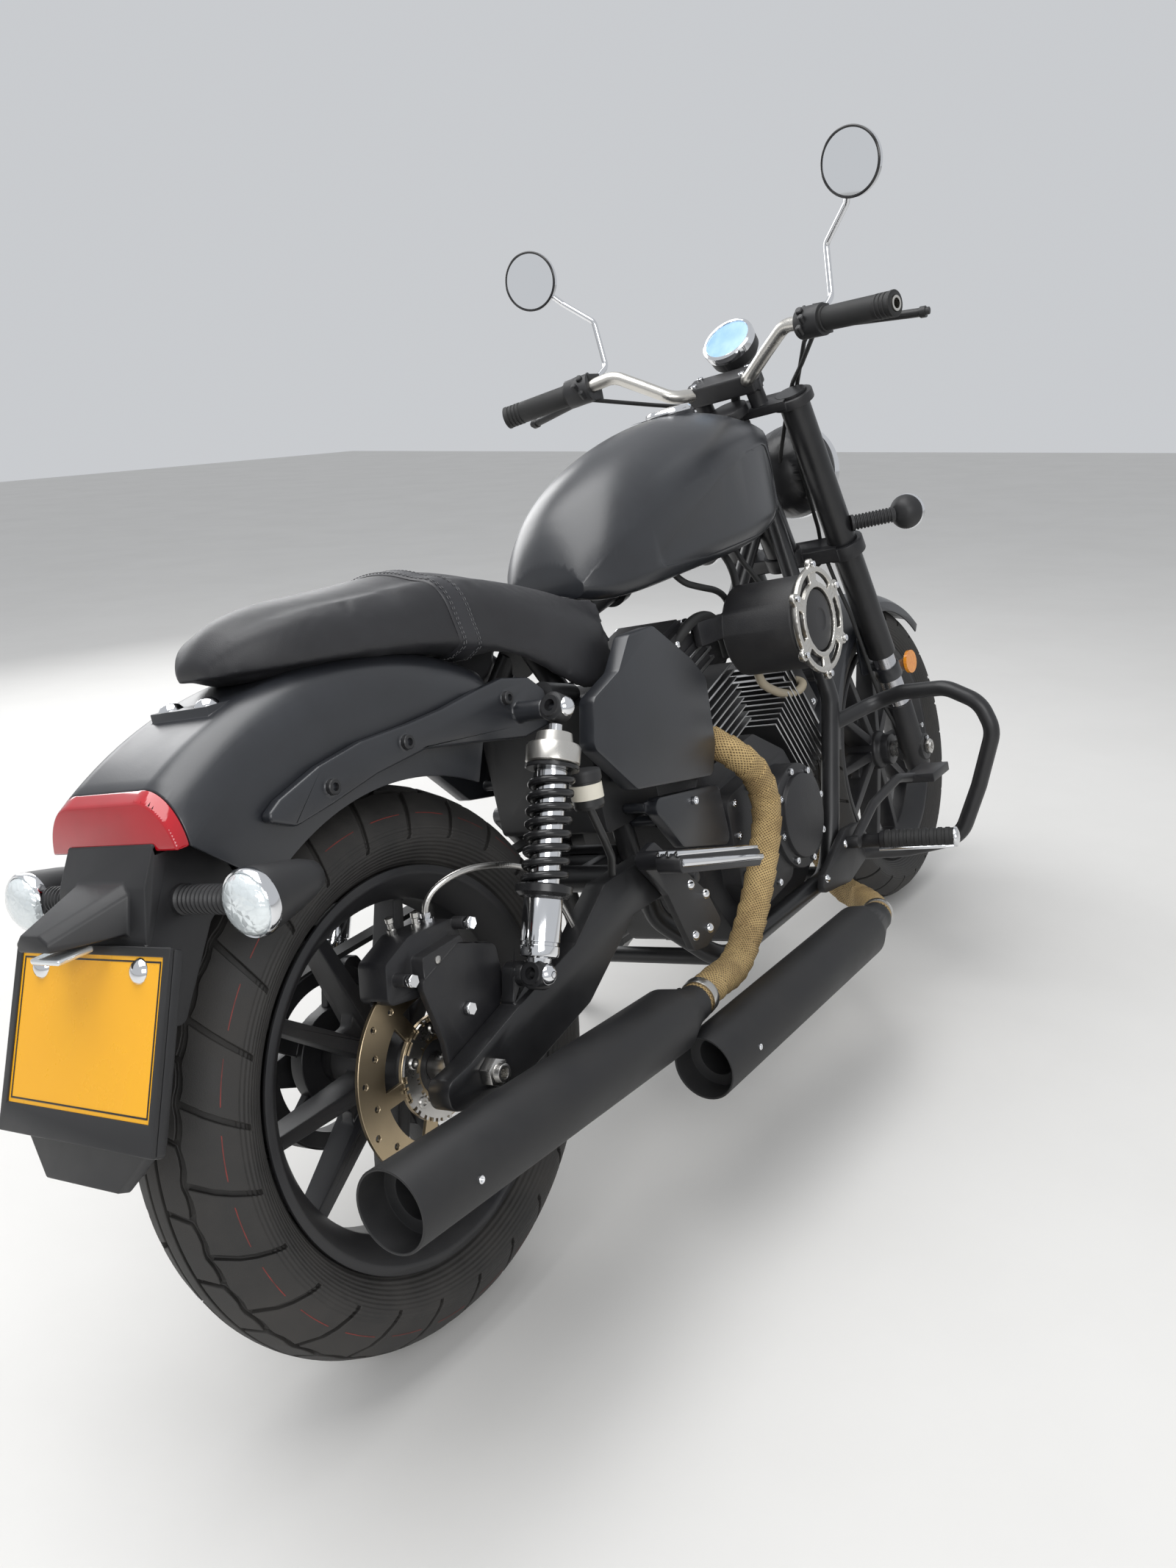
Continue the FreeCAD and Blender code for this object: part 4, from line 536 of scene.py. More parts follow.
def tyre_section(radius, half_width, crown, bead_half):
    """Closed section as (distance along, across, out) rows; zero is the crown's middle."""
    half_angle = math.asin(half_width / crown)
    drop = radius - crown
    edge_out = drop + crown * math.cos(half_angle)
    steps = 20
    outside = []
    for i in range(steps + 1):
        a = half_angle * i / steps
        outside.append((crown * math.sin(a), drop + crown * math.cos(a)))
    for i in range(1, 9):
        share = i / 8
        across = half_width - (half_width - bead_half) * share ** 1.8
        outside.append((across, edge_out + (lip_out - edge_out) * share))
    inside = [(bead_half - 0.012, lip_out - 0.008), (half_width - tyre_wall, edge_out),
              (0.0, radius - tyre_wall)]
    ring = [(-across, out) for across, out in reversed(outside[1:])] + outside + inside
    ring += [(-across, out) for across, out in reversed(inside[:-1])] + [(-outside[-1][0], outside[-1][1])]
    rows = [(0.0, *ring[0])]
    for before, after in zip(ring, ring[1:]):
        rows.append((rows[-1][0] + math.dist(before, after), *after))
    reach = rows[len(outside) - 1][0]
    return [(along - reach, across, out) for along, across, out in rows], reach, half_angle * crown


def on_section(rows, along):
    """Place on the section at a distance along it."""
    for before, after in zip(rows, rows[1:]):
        if along <= after[0] + 1e-9:
            break
    share = (along - before[0]) / (after[0] - before[0])
    return tuple(b + (a - b) * share for b, a in zip(before[1:], after[1:]))


# %% Tread laid out flat, rolled round the wheel, then cut
# Marks along a pitch, as shares of it; the gap between two blocks follows the last one.
row_marks = (0.0, 0.15, 0.30, 0.42, 0.50, 0.64, 0.78, 0.91)
gap_row, cut_row = 7, 3
# Places across half the tread, as shares of the way to the crown's edge.
rib_groove = (0.07, 0.11)
zigzag_groove = (0.32, 0.38)
stripe = (0.752, 0.762)
block_end = 1.05
rib_marks = (0.0, *rib_groove, *zigzag_groove, 0.62, *stripe, 0.90, 1.0)
wall_marks = (block_end, 1.10, 1.16, 1.19, 1.27, 1.30)
groove_depth = 0.0055
zigzag_reach = 0.05


def is_groove(row, share, right):
    """Whether a face at a row and a share across lies in a groove."""
    gap, cut = (gap_row, cut_row) if right else (cut_row, gap_row)
    if rib_groove[0] < share < rib_groove[1] or zigzag_groove[0] < share < zigzag_groove[1]:
        return True
    return (zigzag_groove[1] < share < block_end and row == gap
            or rib_groove[1] < share < zigzag_groove[0] and row == cut)


def face_mark(piece, label, wanted):
    """Remembers on the faces themselves which of them a test accepts."""
    mark = piece.data.attributes.new(label, "BOOLEAN", "FACE")
    for face in piece.data.polygons:
        mark.data[face.index].value = wanted(face)


def pick_mark(piece, label):
    """Selects the faces that carry a mark."""
    marked = [item.value for item in piece.data.attributes[label].data]
    pick_faces(piece, lambda face: marked[face.index])


def tyre(name, centre, radius, half_width, crown, bead_half, pitches):
    """A tyre with its tread, round a wheel centre, and the faces of its painted line."""
    section, reach, edge = tyre_section(radius, half_width, crown, bead_half)
    half = [share * edge for share in rib_marks + wall_marks if share * edge < reach] + [reach]
    marks = [-m for m in reversed(half[1:])] + half
    marks += [along for along, across, out in section if along > reach + 1e-6]
    across_steps = len(marks) - 1
    along_steps = len(row_marks) * pitches
    bpy.ops.mesh.primitive_grid_add(x_subdivisions=along_steps, y_subdivisions=across_steps, size=2)
    piece = bpy.context.object
    piece.name = name

    def cell_of(face):
        column = int((face.center.y + 1) / 2 * across_steps)
        row = int((face.center.x + 1) / 2 * along_steps) % len(row_marks)
        along = (marks[column] + marks[column + 1]) / 2
        return row, along

    def in_groove(face):
        row, along = cell_of(face)
        return along < reach and is_groove(row, abs(along) / edge, along < 0)

    def in_stripe(face):
        row, along = cell_of(face)
        return stripe[0] < -along / edge < stripe[1] and 0 < row < 6

    face_mark(piece, "groove", in_groove)
    face_mark(piece, "stripe", in_stripe)
    for vertex in piece.data.vertices:
        along = marks[round((vertex.co.y + 1) / 2 * across_steps)]
        pitch, row = divmod(round((vertex.co.x + 1) / 2 * along_steps), len(row_marks))
        share = abs(along) / edge
        wave = 1 - 4 * abs(((row_marks[row] + 0.28) % 1.0) - 0.5)
        zigzag = zigzag_reach * wave * max(0.0, 1 - abs(share - 0.35) / 0.2)
        slant = 0.6 * share * min(1.0, max(0.0, (1.3 - share) / 0.25))
        if along > reach:
            slant = 0.0
        turn_by = 2 * math.pi * (pitch + row_marks[row] + slant) / pitches
        across, out = on_section(section, along + math.copysign(zigzag * edge, along))
        vertex.co = centre + Vector((out * math.cos(turn_by), across, out * math.sin(turn_by)))
    in_edit(piece, merged(0.00005), outward)
    pick_mark(piece, "groove")
    bpy.ops.mesh.extrude_region_shrink_fatten(TRANSFORM_OT_shrink_fatten={"value": -groove_depth})
    bpy.ops.object.mode_set(mode="OBJECT")
    return rounded(piece, 0.0007, 1, 40)


def painted_line(name, treaded):
    """The thin line painted on a tyre's shoulder, lifted off its marked faces."""
    pick_mark(treaded, "stripe")
    bpy.ops.mesh.duplicate()
    bpy.ops.mesh.separate(type="SELECTED")
    bpy.ops.object.mode_set(mode="OBJECT")
    line = next(piece for piece in bpy.context.selected_objects if piece != treaded)
    line.name = name
    return with_modifier(line, "DISPLACE", strength=0.0002, mid_level=0)



ring_pitch, ring_reach = 0.0042, 0.262


def tyre_finish(name, centre):
    """Tyre rubber with fine moulded rings on the sidewall, centred on its own wheel."""
    material, tree, shader = shader_of(name)
    mottled(tree, shader, (0.018, 0.017, 0.016), (0.06, 0.055, 0.05), 0.45, 14, (0.6, 0.8))
    turn_back = lean.to_3x3().inverted()
    place = add_node(tree, "TexCoord").outputs["Object"]
    centred = add_node(tree, "Mapping", {"Vector": place, "Rotation": turn_back.to_euler(),
                                         "Location": -(turn_back @ (lean @ centre))})
    flat = add_node(tree, "VectorMath", {0: centred.outputs["Vector"], 1: (1, 0, 1)}, operation="MULTIPLY")
    reach = add_node(tree, "VectorMath", {0: flat.outputs["Vector"]}, operation="LENGTH").outputs["Value"]

    def step(operation, *values):
        return add_node(tree, "Math", dict(enumerate(values)), operation=operation).outputs[0]

    wave = step("SINE", step("MULTIPLY", reach, 2 * math.pi / ring_pitch))
    grain = placed_group(tree, GRAIN, {"Scale": 900, "Cells": 0.0}).outputs["Height"]
    height = step("ADD", step("MULTIPLY", wave, step("LESS_THAN", reach, ring_reach)), step("MULTIPLY", grain,
                                                                                            0.5))
    raised(tree, shader, height, 0.00035)
    return material


rear_tyre = tyre("rear_tyre_treaded", REAR, rear_radius, 0.075, 0.078, 0.054, 25)
rear_line = painted_line("rear_tyre_line", rear_tyre)
settle(rear_tyre, tyre_finish("rear_tyre_rubber", REAR), "rear_wheel", ["rear_tyre"])
settle(rear_line, RED_LINE, "rear_wheel")
front_tyre = tyre("front_tyre_treaded", FRONT, front_radius, 0.060, 0.065, 0.042, 26)
settle(front_tyre, tyre_finish("front_tyre_rubber", FRONT), "front_wheel", ["front_tyre"])

# %% [markdown]
# ## Edges, bolts and sleeves
# A casting or pressing never ends in a knife edge, and the thin light along a rounded edge is what makes
# black metal readable. So most solids are copied, merged, cleared of flat triangles and bevelled. Bolt
# heads are modelled once at unit size and copied, and pipes are sleeves round a smooth line, so that a
# wrap or a rib can follow them.

# %% Softened solids


def solid_copy(node):
    """A merged copy of a solid, for more work on it."""
    piece = linked(node + "_dressed", frame["nodes"][node].data.copy())
    return in_edit(
        piece,
        lambda: bpy.ops.mesh.customdata_custom_splitnormals_clear(),
        merged(0.00002),
        lambda: bpy.ops.mesh.dissolve_limited(angle_limit=math.radians(1)),
    )


def soft_copy(node, width, segments=2):
    """A merged copy of a solid, its edges rounded by a width in millimetres."""
    return rounded(solid_copy(node), width * MM, segments, EDGE_ANGLE, False)


def softened(node, width=1.2, segments=2, material=None):
    """A copy of a solid with rounded edges, which stands in for it."""
    return settle(soft_copy(node, width, segments), material or frame["nodes"][node].data.materials[0],
                  body_of_node[node], [node], leaning=True)


# %% Bolt heads


def bolt_head(kind):
    """Mesh of one bolt head of radius 1, standing on the origin along Z."""
    if kind == "dome":
        bpy.ops.mesh.primitive_uv_sphere_add(segments=16, ring_count=8, radius=1)
        head = bpy.context.object
        in_edit(head, lambda: bpy.ops.mesh.bisect(plane_co=(0, 0, 0.3), plane_no=(0, 0, 1), clear_inner=True,
                                                  use_fill=True))
        head.data.transform(Matrix.Translation((0, 0, -0.3)))
        head.data.transform(Matrix.Diagonal((1.05, 1.05, 0.9, 1)))
    else:
        bpy.ops.mesh.primitive_cylinder_add(vertices=6 if kind == "hex" else 14, radius=1, depth=0.9,
                                            location=(0, 0, 0))
        head = bpy.context.object
        head.data.transform(Matrix.Translation((0, 0, 0.45)))
        rounded(head, 0.12, 1, 40)
        if kind == "socket":
            pick_faces(head, lambda face: face.normal.z > 0.9)
            bpy.ops.mesh.inset(thickness=0.34)
            bpy.ops.mesh.extrude_region_move(TRANSFORM_OT_translate={"value": (0, 0, -0.45)})
            bpy.ops.object.mode_set(mode="OBJECT")
    mesh = head.data
    bpy.data.objects.remove(head)
    return mesh


HEADS = {kind: bolt_head(kind) for kind in ("dome", "hex", "socket")}


def bolts(name, kind, direction, radius, points, material=None, body="chassis", twin=False):
    """Bolt heads of one kind at points in millimetres, all facing one way; a twin adds the left side's."""
    rows = [(point, Vector(direction)) for point in points]
    if twin:
        rows += [(point, Vector((direction[0], -direction[1], direction[2]))) for point in flipped(points)]
    heads = []
    for point, way in rows:
        head = linked(name, HEADS[kind].copy())
        head.data.transform(facing(way, place_of(point)) @ Matrix.Scale(radius * MM, 4))
        heads.append(head)
    return settle(joined(name, heads), material or CHROME, body)


# %% Sleeves along a smooth line


def smooth_line(points):
    """Points along the smooth line that a route in millimetres controls."""
    curve = bpy.data.curves.new("route", "CURVE")
    curve.dimensions = "3D"
    line = curve.splines.new("NURBS")
    line.points.add(len(points) - 1)
    for spot, point in zip(line.points, points):
        spot.co = (*place_of(point), 1)
    line.order_u = 3
    line.use_endpoint_u = True
    line.resolution_u = ROUTE_STEPS
    holder = bpy.data.objects.new("route", curve)
    mesh = bpy.data.meshes.new_from_object(holder)
    found = [vertex.co.copy() for vertex in mesh.vertices]
    bpy.data.objects.remove(holder)
    return found


def stations(line, count):
    """Evenly spaced (distance, point, direction, side, up) rows along a line, without twist."""
    runs = [(b - a).length for a, b in zip(line, line[1:])]
    total = sum(runs)
    rows = []
    up = Vector((0, 0, 1)) if abs((line[1] - line[0]).normalized().z) < 0.8 else Vector((0, 1, 0))
    run, start = 0, 0.0
    for i in range(count + 1):
        along = total * i / count
        while run < len(runs) - 1 and along > start + runs[run]:
            start += runs[run]
            run += 1
        point = line[run].lerp(line[run + 1], min(1.0, (along - start) / max(runs[run], 1e-9)))
        way = (line[run + 1] - line[run]).normalized()
        side = up.cross(way).normalized()
        up = way.cross(side).normalized()
        rows.append((along, point, way, side, up))
    return rows


def sleeve(name, points, radius_at, rings, sides=32):
    """A tube along a route; its radius in millimetres may change along it and round it."""
    rows = stations(smooth_line(points), rings)
    bpy.ops.mesh.primitive_grid_add(x_subdivisions=rings, y_subdivisions=sides, size=2)
    piece = bpy.context.object
    piece.name = name
    for vertex in piece.data.vertices:
        along, point, way, side, up = rows[round((vertex.co.x + 1) / 2 * rings)]
        turn_by = 2 * math.pi * round((vertex.co.y + 1) / 2 * sides) / sides
        radius = radius_at(along / MM, turn_by) * MM
        vertex.co = point + (side * math.cos(turn_by) + up * math.sin(turn_by)) * radius
    return in_edit(piece, merged(0.000005), closed_ends, outward)


# %% [markdown]
# ## Wheels and brakes
# The cast wheels keep their solids' shape with rounded edges. On the right sit a bronze-coloured drilled
# disc, a toothed sensor ring and a two-bolt caliper with a braided hose.

# %% Wheels, discs and their hardware
for kind, width, segments, material in (("wheel", 2.2, 2, None), ("disc", 0.5, 1, None),
                                        ("pulley", 0.8, 1, CAST_BLACK)):
    for end in ("rear_", "front_"):
        softened(end + kind, width, segments, material)

RIGHT, LEFT, UP, BACK, AHEAD = (0, -1, 0), (0, 1, 0), (0, 0, 1), (-1, 0, 0), (1, 0, 0)


def round_axle(centre, y, radius, count, start=0.0):
    """Points in millimetres on a circle round an axle."""
    return [(centre.x / MM + radius * math.cos(math.radians(start + 360 / count * i)), y,
             centre.z / MM + radius * math.sin(math.radians(start + 360 / count * i))) for i in range(count)]


def toothed_ring(name, centre, y, direction, body):
    """Sensor ring of thin teeth beside a disc."""
    profile = [(40, 0), (54, 0), (54, 3), (40, 3), (40, 0)]
    ring = turned(name, profile, centre + Vector((0, y * MM, 0)), direction, 96)
    teeth = sorted((face.index for face in ring.data.polygons
                    if abs(face.normal.y) < 0.2 and (face.center - centre).length > 0.05),
                   key=lambda i: math.atan2(*(ring.data.polygons[i].center - centre).xz))
    chosen = set(teeth[::2])
    pick_faces(ring, lambda face: face.index in chosen)
    bpy.ops.mesh.extrude_region_shrink_fatten(TRANSFORM_OT_shrink_fatten={"value": 0.004})
    bpy.ops.object.mode_set(mode="OBJECT")
    return settle(ring, BRIGHT_STEEL, body)


toothed_ring("rear_sensor_ring", REAR, -81, RIGHT, "rear_wheel")
bolts("rear_disc_bolts", "socket", RIGHT, 6.5, round_axle(REAR, -80, 45, 6, 30), BRIGHT_STEEL, "rear_wheel")
bolts("front_disc_bolts", "socket", LEFT, 6.5, round_axle(FRONT, 60, 45, 6, 30), BRIGHT_STEEL, "front_wheel")
softened("rear_caliper", 1.6)
softened("front_caliper", 1.6)
softened("rear_axle", 0.8)
softened("front_axle", 0.8)
bolts("rear_caliper_bolts", "hex", RIGHT, 8, [(-690.5, -119.7, 370), (-660.5, -119.7, 456), (-762.5, -119.7,
                                                                                             432)], CHROME,
                                                                                             "chassis")

settle(joined("caliper_pins", [
    turned("pin", ((0, 0), (5, 0), (5, 8), (3.4, 9), (3.4, 15), (4.4, 16), (4.4, 21),
                                                   (2, 22), (0, 22)), place_of(spot), way, 20)
    for spot, way in (((-708, -90, 464), (0.05, -0.1, 1)), ((-727, -74, 466), (-0.1, -0.1, 1)),
                      ((-716, -99, 436), RIGHT))]), BRIGHT_STEEL, "chassis")


def braid(along, turn_by):
    """Radius of a braided hose in millimetres."""
    return 3.4 + 0.35 * math.sin(5 * turn_by + along * 1.1) * math.sin(5 * turn_by - along * 1.1)


hose = sleeve("rear_brake_hose", [(-684, -84, 470), (-684, -86, 492), (-650, -108, 510), (-600, -119, 502),
                                  (-540, -122, 478), (-504, -128, 420), (-492, -135, 354)], braid, 190, 20)
settle(hose, BRIGHT_STEEL, "chassis")
settle(turned("banjo", [(0, 0), (9, 0), (9, 8), (6, 9), (6, 14), (0, 14)],
              place_of((-684, -84, 462)), (0.05, 0, 1), 24), CHROME, "chassis")

# %% [markdown]
# ## Rear shocks
# Each shock is a chromed damper in a black coil, between a satin collar above and a cup below. The coil
# is one circle carried up a screw, which is how a spring is wound.

# %% Springs and dampers
shock_foot = (-620, 166, 381)
shock_top = (-487, 166, 649)
shock_length = math.dist(shock_foot, shock_top)
coil_low, coil_high, coil_turns, coil_radius, coil_wire = 96.5, shock_length - 71.5, 8, 22.5, 4.6


def coil(name):
    """One spring, wound up a screw about Z from the origin."""
    bpy.ops.mesh.primitive_circle_add(vertices=12, radius=coil_wire * MM, rotation=(math.pi / 2, 0, 0))
    piece = bpy.context.object
    piece.name = name
    bpy.ops.object.transform_apply(rotation=True)
    piece.data.transform(Matrix.Translation((coil_radius * MM, 0, (coil_low + coil_wire) * MM)))
    pitch = (coil_high - coil_low - 2 * coil_wire) / coil_turns
    with_modifier(piece, "SCREW", angle=2 * math.pi, screw_offset=pitch * MM, iterations=coil_turns, steps=32,
                  render_steps=32, use_merge_vertices=True)
    return in_edit(piece, closed_ends, outward)


def along_shock(side):
    """The matrix from a shock's own axis to its place on one side."""
    foot = Vector((shock_foot[0], side * shock_foot[1], shock_foot[2]))
    top = Vector((shock_top[0], side * shock_top[1], shock_top[2]))
    return facing(top - foot, foot * MM)


def on_both_shocks(name, make, material, replaces=()):
    """A piece made once along Z and set on both shocks."""
    pair = []
    for side in (-1, 1):
        piece = make(name)
        piece.data.transform(along_shock(side))
        pair.append(piece)
    return settle(joined(name, pair), material, "chassis", replaces)


def spun(profile):
    """A maker of a turned piece on the Z axis, from a profile in millimetres."""
    return lambda name: turned(name, profile, (0, 0, 0), (0, 0, 1), 48)


top = shock_length
on_both_shocks("shock_coils", coil, SPRING_BLACK, ["shock_springs"])
on_both_shocks("shock_dampers", spun([
    (0, 12), (13, 12), (14, 17), (21, 19), (22, 22), (22, 30), (20.5, 31), (20.5, 34), (22, 35), (22, 84),
    (20, 88), (17, 90), (17, top - 66), (8, top - 64), (8, top - 20), (0, top - 20),
]), CHROME, ["shock_bodies"])
on_both_shocks("shock_cups", spun([
    (17, 84), (27, 84), (32, 88), (32, 96), (30, 97.5), (17, 97.5), (17, 84),
]), SPRING_BLACK)
on_both_shocks("shock_collars", spun([
    (10, top - 66), (29, top - 66), (31, top - 64), (31, top - 46), (29, top - 43), (22, top - 42),
    (20, top - 30), (10, top - 30), (10, top - 66),
]), BAR_SILVER)
on_both_shocks("shock_rings", spun([
    (18, top - 72), (30, top - 72), (31, top - 71), (31, top - 67.5), (18, top - 67), (18, top - 72),
]), SPRING_BLACK)


def eyes(name):
    """Rubber-bushed eyes at a shock's two ends, turned about the cross axis."""
    pair = []
    for height in (0.0, top):
        eye = turned(name, (
            (7, -14), (12, -14), (13, -12), (16, -11), (17, -9), (17, 9), (16, 11), (13, 12), (12, 14), (7,
                                                                                                         14),
            (7, -14)), (0, 0, height * MM), (0, 1, 0), 40)
        pair.append(eye)
    return joined(name, pair)


on_both_shocks("shock_eyes", eyes, FRAME_BLACK)
for side, out in ((-1, RIGHT), (1, LEFT)):
    nuts = [(shock_foot[0], side * 181, shock_foot[2]), (shock_top[0], side * 181, shock_top[2])]
    bolts("shock_nuts_" + ("right" if side < 0 else "left"), "dome", out, 12, nuts)

# %% [markdown]
# ## Tail
# The rear fender, its long struts and the moulding under the tail keep their solids' shape. The plate is
# blank: a yellow sheet with a dark border line, a black frame round it and two domed bolts. The signals
# are a faceted lens in a chrome rim on a black bullet, carried by a ribbed rubber stalk.

# %% Fender, struts and plate
softened("rear_fender", 1.2)
softened("strut_covers", 3.2, 3)
softened("plate_holder", 2.5)
softened("tail_light", 2.2, 3)
bolts("strut_bolts", "socket", RIGHT, 8, [(-506, -111, 670), (-680, -111, 662), (-793, -111, 646)],
      FRAME_BLACK,
      "chassis", twin=True)
bolts("seat_bracket_screws", "dome", UP, 12.5, [(-844.5, -28, 747.3), (-844.5, 28, 747.3)])

tail_x, tail_z = -952.5, 693.0
plate_half_width, plate_half_height, plate_tilt = 110, 70, math.radians(24)
plate_turn = Matrix(((0, math.sin(plate_tilt), -math.cos(plate_tilt)), (1, 0, 0),
                     (0, math.cos(plate_tilt), math.sin(plate_tilt)))).to_4x4()
on_plate = Matrix.Translation(place_of((tail_x - 88.5, 0, tail_z - 196))) @ plate_turn


def plate_ring(name, outer, inner, low, high, edge=0.4):
    """A flat ring between two rectangles (left, right, bottom, top), in the plate's own frame."""
    corners = []
    for left, right, bottom, top in (outer, inner):
        corners += [(left, bottom, low), (right, bottom, low), (right, top, low), (left, top, low)]
    sides = [(i, (i + 1) % 4, 4 + (i + 1) % 4, 4 + i) for i in range(4)]
    mesh = bpy.data.meshes.new(name)
    mesh.from_pydata([Vector(c) * MM for c in corners], [], sides)
    piece = linked(name, mesh)
    with_modifier(piece, "SOLIDIFY", thickness=(high - low) * MM, offset=1)
    rounded(piece, edge * MM, 2, 40)
    in_edit(piece, outward)
    piece.data.transform(on_plate)
    return piece


wide, tall = plate_half_width, plate_half_height
softened("number_plate", 0.5, 1)
settle(plate_ring("plate_border_line", (-wide + 5, wide - 5, -tall + 5, tall - 5),
                  (-wide + 6.6, wide - 6.6, -tall + 6.6, tall - 6.6), 2.0, 2.5, 0.1), FRAME_BLACK, "chassis")
settle(plate_ring("plate_frame", (-wide - 8, wide + 8, -tall - 25, tall + 7),
                  (-wide + 1.5, wide - 1.5, -tall + 1.5, tall - 1.5), -0.1, 4.0, 1.2), MOULDED_BLACK,
                  "chassis")
for side in (-1, 1):
    head = linked("plate_bolt", HEADS["dome"].copy())
    head.data.transform(on_plate @ Matrix.Translation(Vector((side * 75, 56, 2)) * MM) @ Matrix.Scale(12 * MM,
                                                                                                      4))
    settle(head, CHROME, "chassis")
lamp_lens = block("plate_lamp_lens", (tail_x - 88, 0, tail_z - 123), (0.036, 0.044, 0.006))
rounded(lamp_lens, 2.4 * MM, 3)
settle(lamp_lens, CLEAR_LENS, "chassis")

# %% Signals
FACETED_LENS = finish("faceted_signal_lens", (0.80, 0.85, 0.86), (0.62, 0.68, 0.70), 0.5, (0.05, 0.12),
                      metal=0.35,
                      patch_scale=60, grain=110, depth=0.0016, cells=1.0, coat=1.0)


def signal(name, centre, direction, body, node, stalk_start, stalk_end, bowl):
    """A round signal on each side: lens, rim, bowl and ribbed stalk."""
    where = place_of(centre)

    def part(label, profile):
        return turned(name + label, profile, where, direction)

    lens = part("_lenses", [(0, -2), (27, -2), (28, 2), (28, 9), (25.5, 15), (20, 18.5), (12, 20.6), (0,
                                                                                                      21.4)])
    settle(doubled(lens), FACETED_LENS, body, [node])
    rim = part("_rims", [(27.6, 0), (30, -1), (31, 2), (31, 8), (29.6, 10.5), (28.1, 10), (27.6, 0)])
    settle(doubled(rim), CHROME, body)
    shell = part("_bowls", bowl + [(30, 1), (27, 1), (0, 0)])
    settle(doubled(shell), MOULDED_BLACK, body)
    start, end = place_of(stalk_start), place_of(stalk_end)
    length = (end - start).length / MM
    ribs = [(0, 0), (14.5, 0), (14.5, 5)]
    height = 7
    while height < length - 6:
        ribs += [(11.5, height), (11.5, height + 1.6), (13.6, height + 2.6), (13.6, height + 4.4)]
        height += 6
    ribs += [(11.5, length - 2), (11.5, length), (0, length)]
    stalk = turned(name + "_stalks", ribs, start, end - start, 32)
    settle(doubled(stalk), MOULDED_BLACK, body)


signal("rear_signal", (tail_x - 5, -171, tail_z - 103), BACK, "chassis", "rear_signals",
       (tail_x - 1, -66, tail_z - 103), (tail_x - 1, -150, tail_z - 103),
       [(0, -74), (7, -73), (13, -68), (19, -54), (24, -34), (28, -14), (30, -3)])

# %% [markdown]
# ## Seat
# The seat is leather over foam. Its form is copied, drawn in a little, remeshed into even small faces and
# blown up as cloth, so that the cover looks filled. A broad strap with stitched edges lies across it. The
# strap is a strip whose points are dropped on to the cover from outside, as a real strap lies.

# %% Stuffing
stuffed_frames = 20


def stuffed(piece, pressure, cap):
    """Blows up a closed form as cloth, holding each point within a cap of its start."""
    start = [vertex.co.copy() for vertex in piece.data.vertices]
    choose(piece)
    modifier = piece.modifiers.new("cloth", "CLOTH")
    modifier.settings.use_pressure = True
    modifier.settings.uniform_pressure_force = pressure
    modifier.settings.effector_weights.gravity = 0
    for step in range(1, stuffed_frames + 1):
        bpy.context.scene.frame_set(step)
    bpy.ops.object.modifier_apply(modifier=modifier.name)
    bpy.context.scene.frame_set(1)
    for vertex, before in zip(piece.data.vertices, start):
        move = vertex.co - before
        if move.length > cap:
            vertex.co = before + move.normalized() * cap
    return piece


cover = solid_copy("seat")
cover.name = "seat_cover"
with_modifier(cover, "REMESH", mode="VOXEL", voxel_size=5.5 * MM, use_smooth_shade=True)
with_modifier(cover, "SMOOTH", factor=0.5, iterations=8)
with_modifier(cover, "DISPLACE", strength=-3 * MM, mid_level=0)
stuffed(cover, 4.0, 5 * MM)
with_modifier(cover, "SUBSURF", levels=1, render_levels=1)
settle(cover, LEATHER, "chassis", ["seat"], smooth=60, leaning=True)

# %% Strap and stitches
strap_width, strap_half_turn, strap_reach = 34, 118, 190
strap_steps, strap_rows = 60, 6
STRAP = finish("strap_leather", (0.020, 0.020, 0.023), (0.05, 0.05, 0.055), 0.35, (0.34, 0.46), grain=900,
               depth=0.00012, cells=0.75)
THREAD = finish("grey_thread", (0.10, 0.10, 0.105), (0.16, 0.16, 0.16), 0.4, (0.6, 0.7))


def on_cover(along, across, lift):
    """Point on the cover and its normal; along runs from the right foot (-1) to the left (1)."""
    turn_by = math.radians(strap_half_turn) * along
    x = -548 + 40 * along * along + across
    outside = lean @ place_of((x, strap_reach * math.sin(turn_by), 730 + strap_reach * math.cos(turn_by)))
    inside = lean @ place_of((x, 0, 745))
    _, point, normal, _ = cover.ray_cast(outside, (inside - outside).normalized())
    return point + normal * lift * MM, normal


bpy.ops.mesh.primitive_grid_add(x_subdivisions=strap_steps, y_subdivisions=strap_rows, size=2)
strap = bpy.context.object
strap.name = "seat_strap"
for vertex in strap.data.vertices:
    edge = abs(vertex.co.y) > 0.99
    vertex.co = on_cover(vertex.co.x, vertex.co.y * strap_width / 2, 0.4 if edge else 2.2)[0]
with_modifier(strap, "SOLIDIFY", thickness=1.6 * MM, offset=0)
with_modifier(strap, "SUBSURF", levels=1, render_levels=1)
in_edit(strap, outward)
settle(strap, STRAP, "chassis", smooth=60, leaning=True)

stitches = []
for across in (-12.5, -9.5, 9.5, 12.5):
    spots = [on_cover(-0.97 + 1.94 * i / 150, across, 3.0)[0] for i in range(151)]
    for start, end in zip(spots[::2], spots[1::2]):
        stitches.append(bar("stitch", start, end, 0.55 * MM, 6))
settle(joined("strap_stitching", stitches), THREAD, "chassis", smooth=60, leaning=True)

# %% [markdown]
# ## Exhaust
# Both header pipes are bound in woven heat tape, golden tan, each turn lapped over the one before. The
# sleeve's rings are spaced so that one ring and one side together follow the screw line exactly, and the
# step of the lap then runs clean. A real ribbon wound round the pipe would open up at the bends.

# %% Woven tape
tape_width, tape_step, tape_sides = 26, 2.2, 26
pipe_radius, mapped_radius = 20.2, 0.021


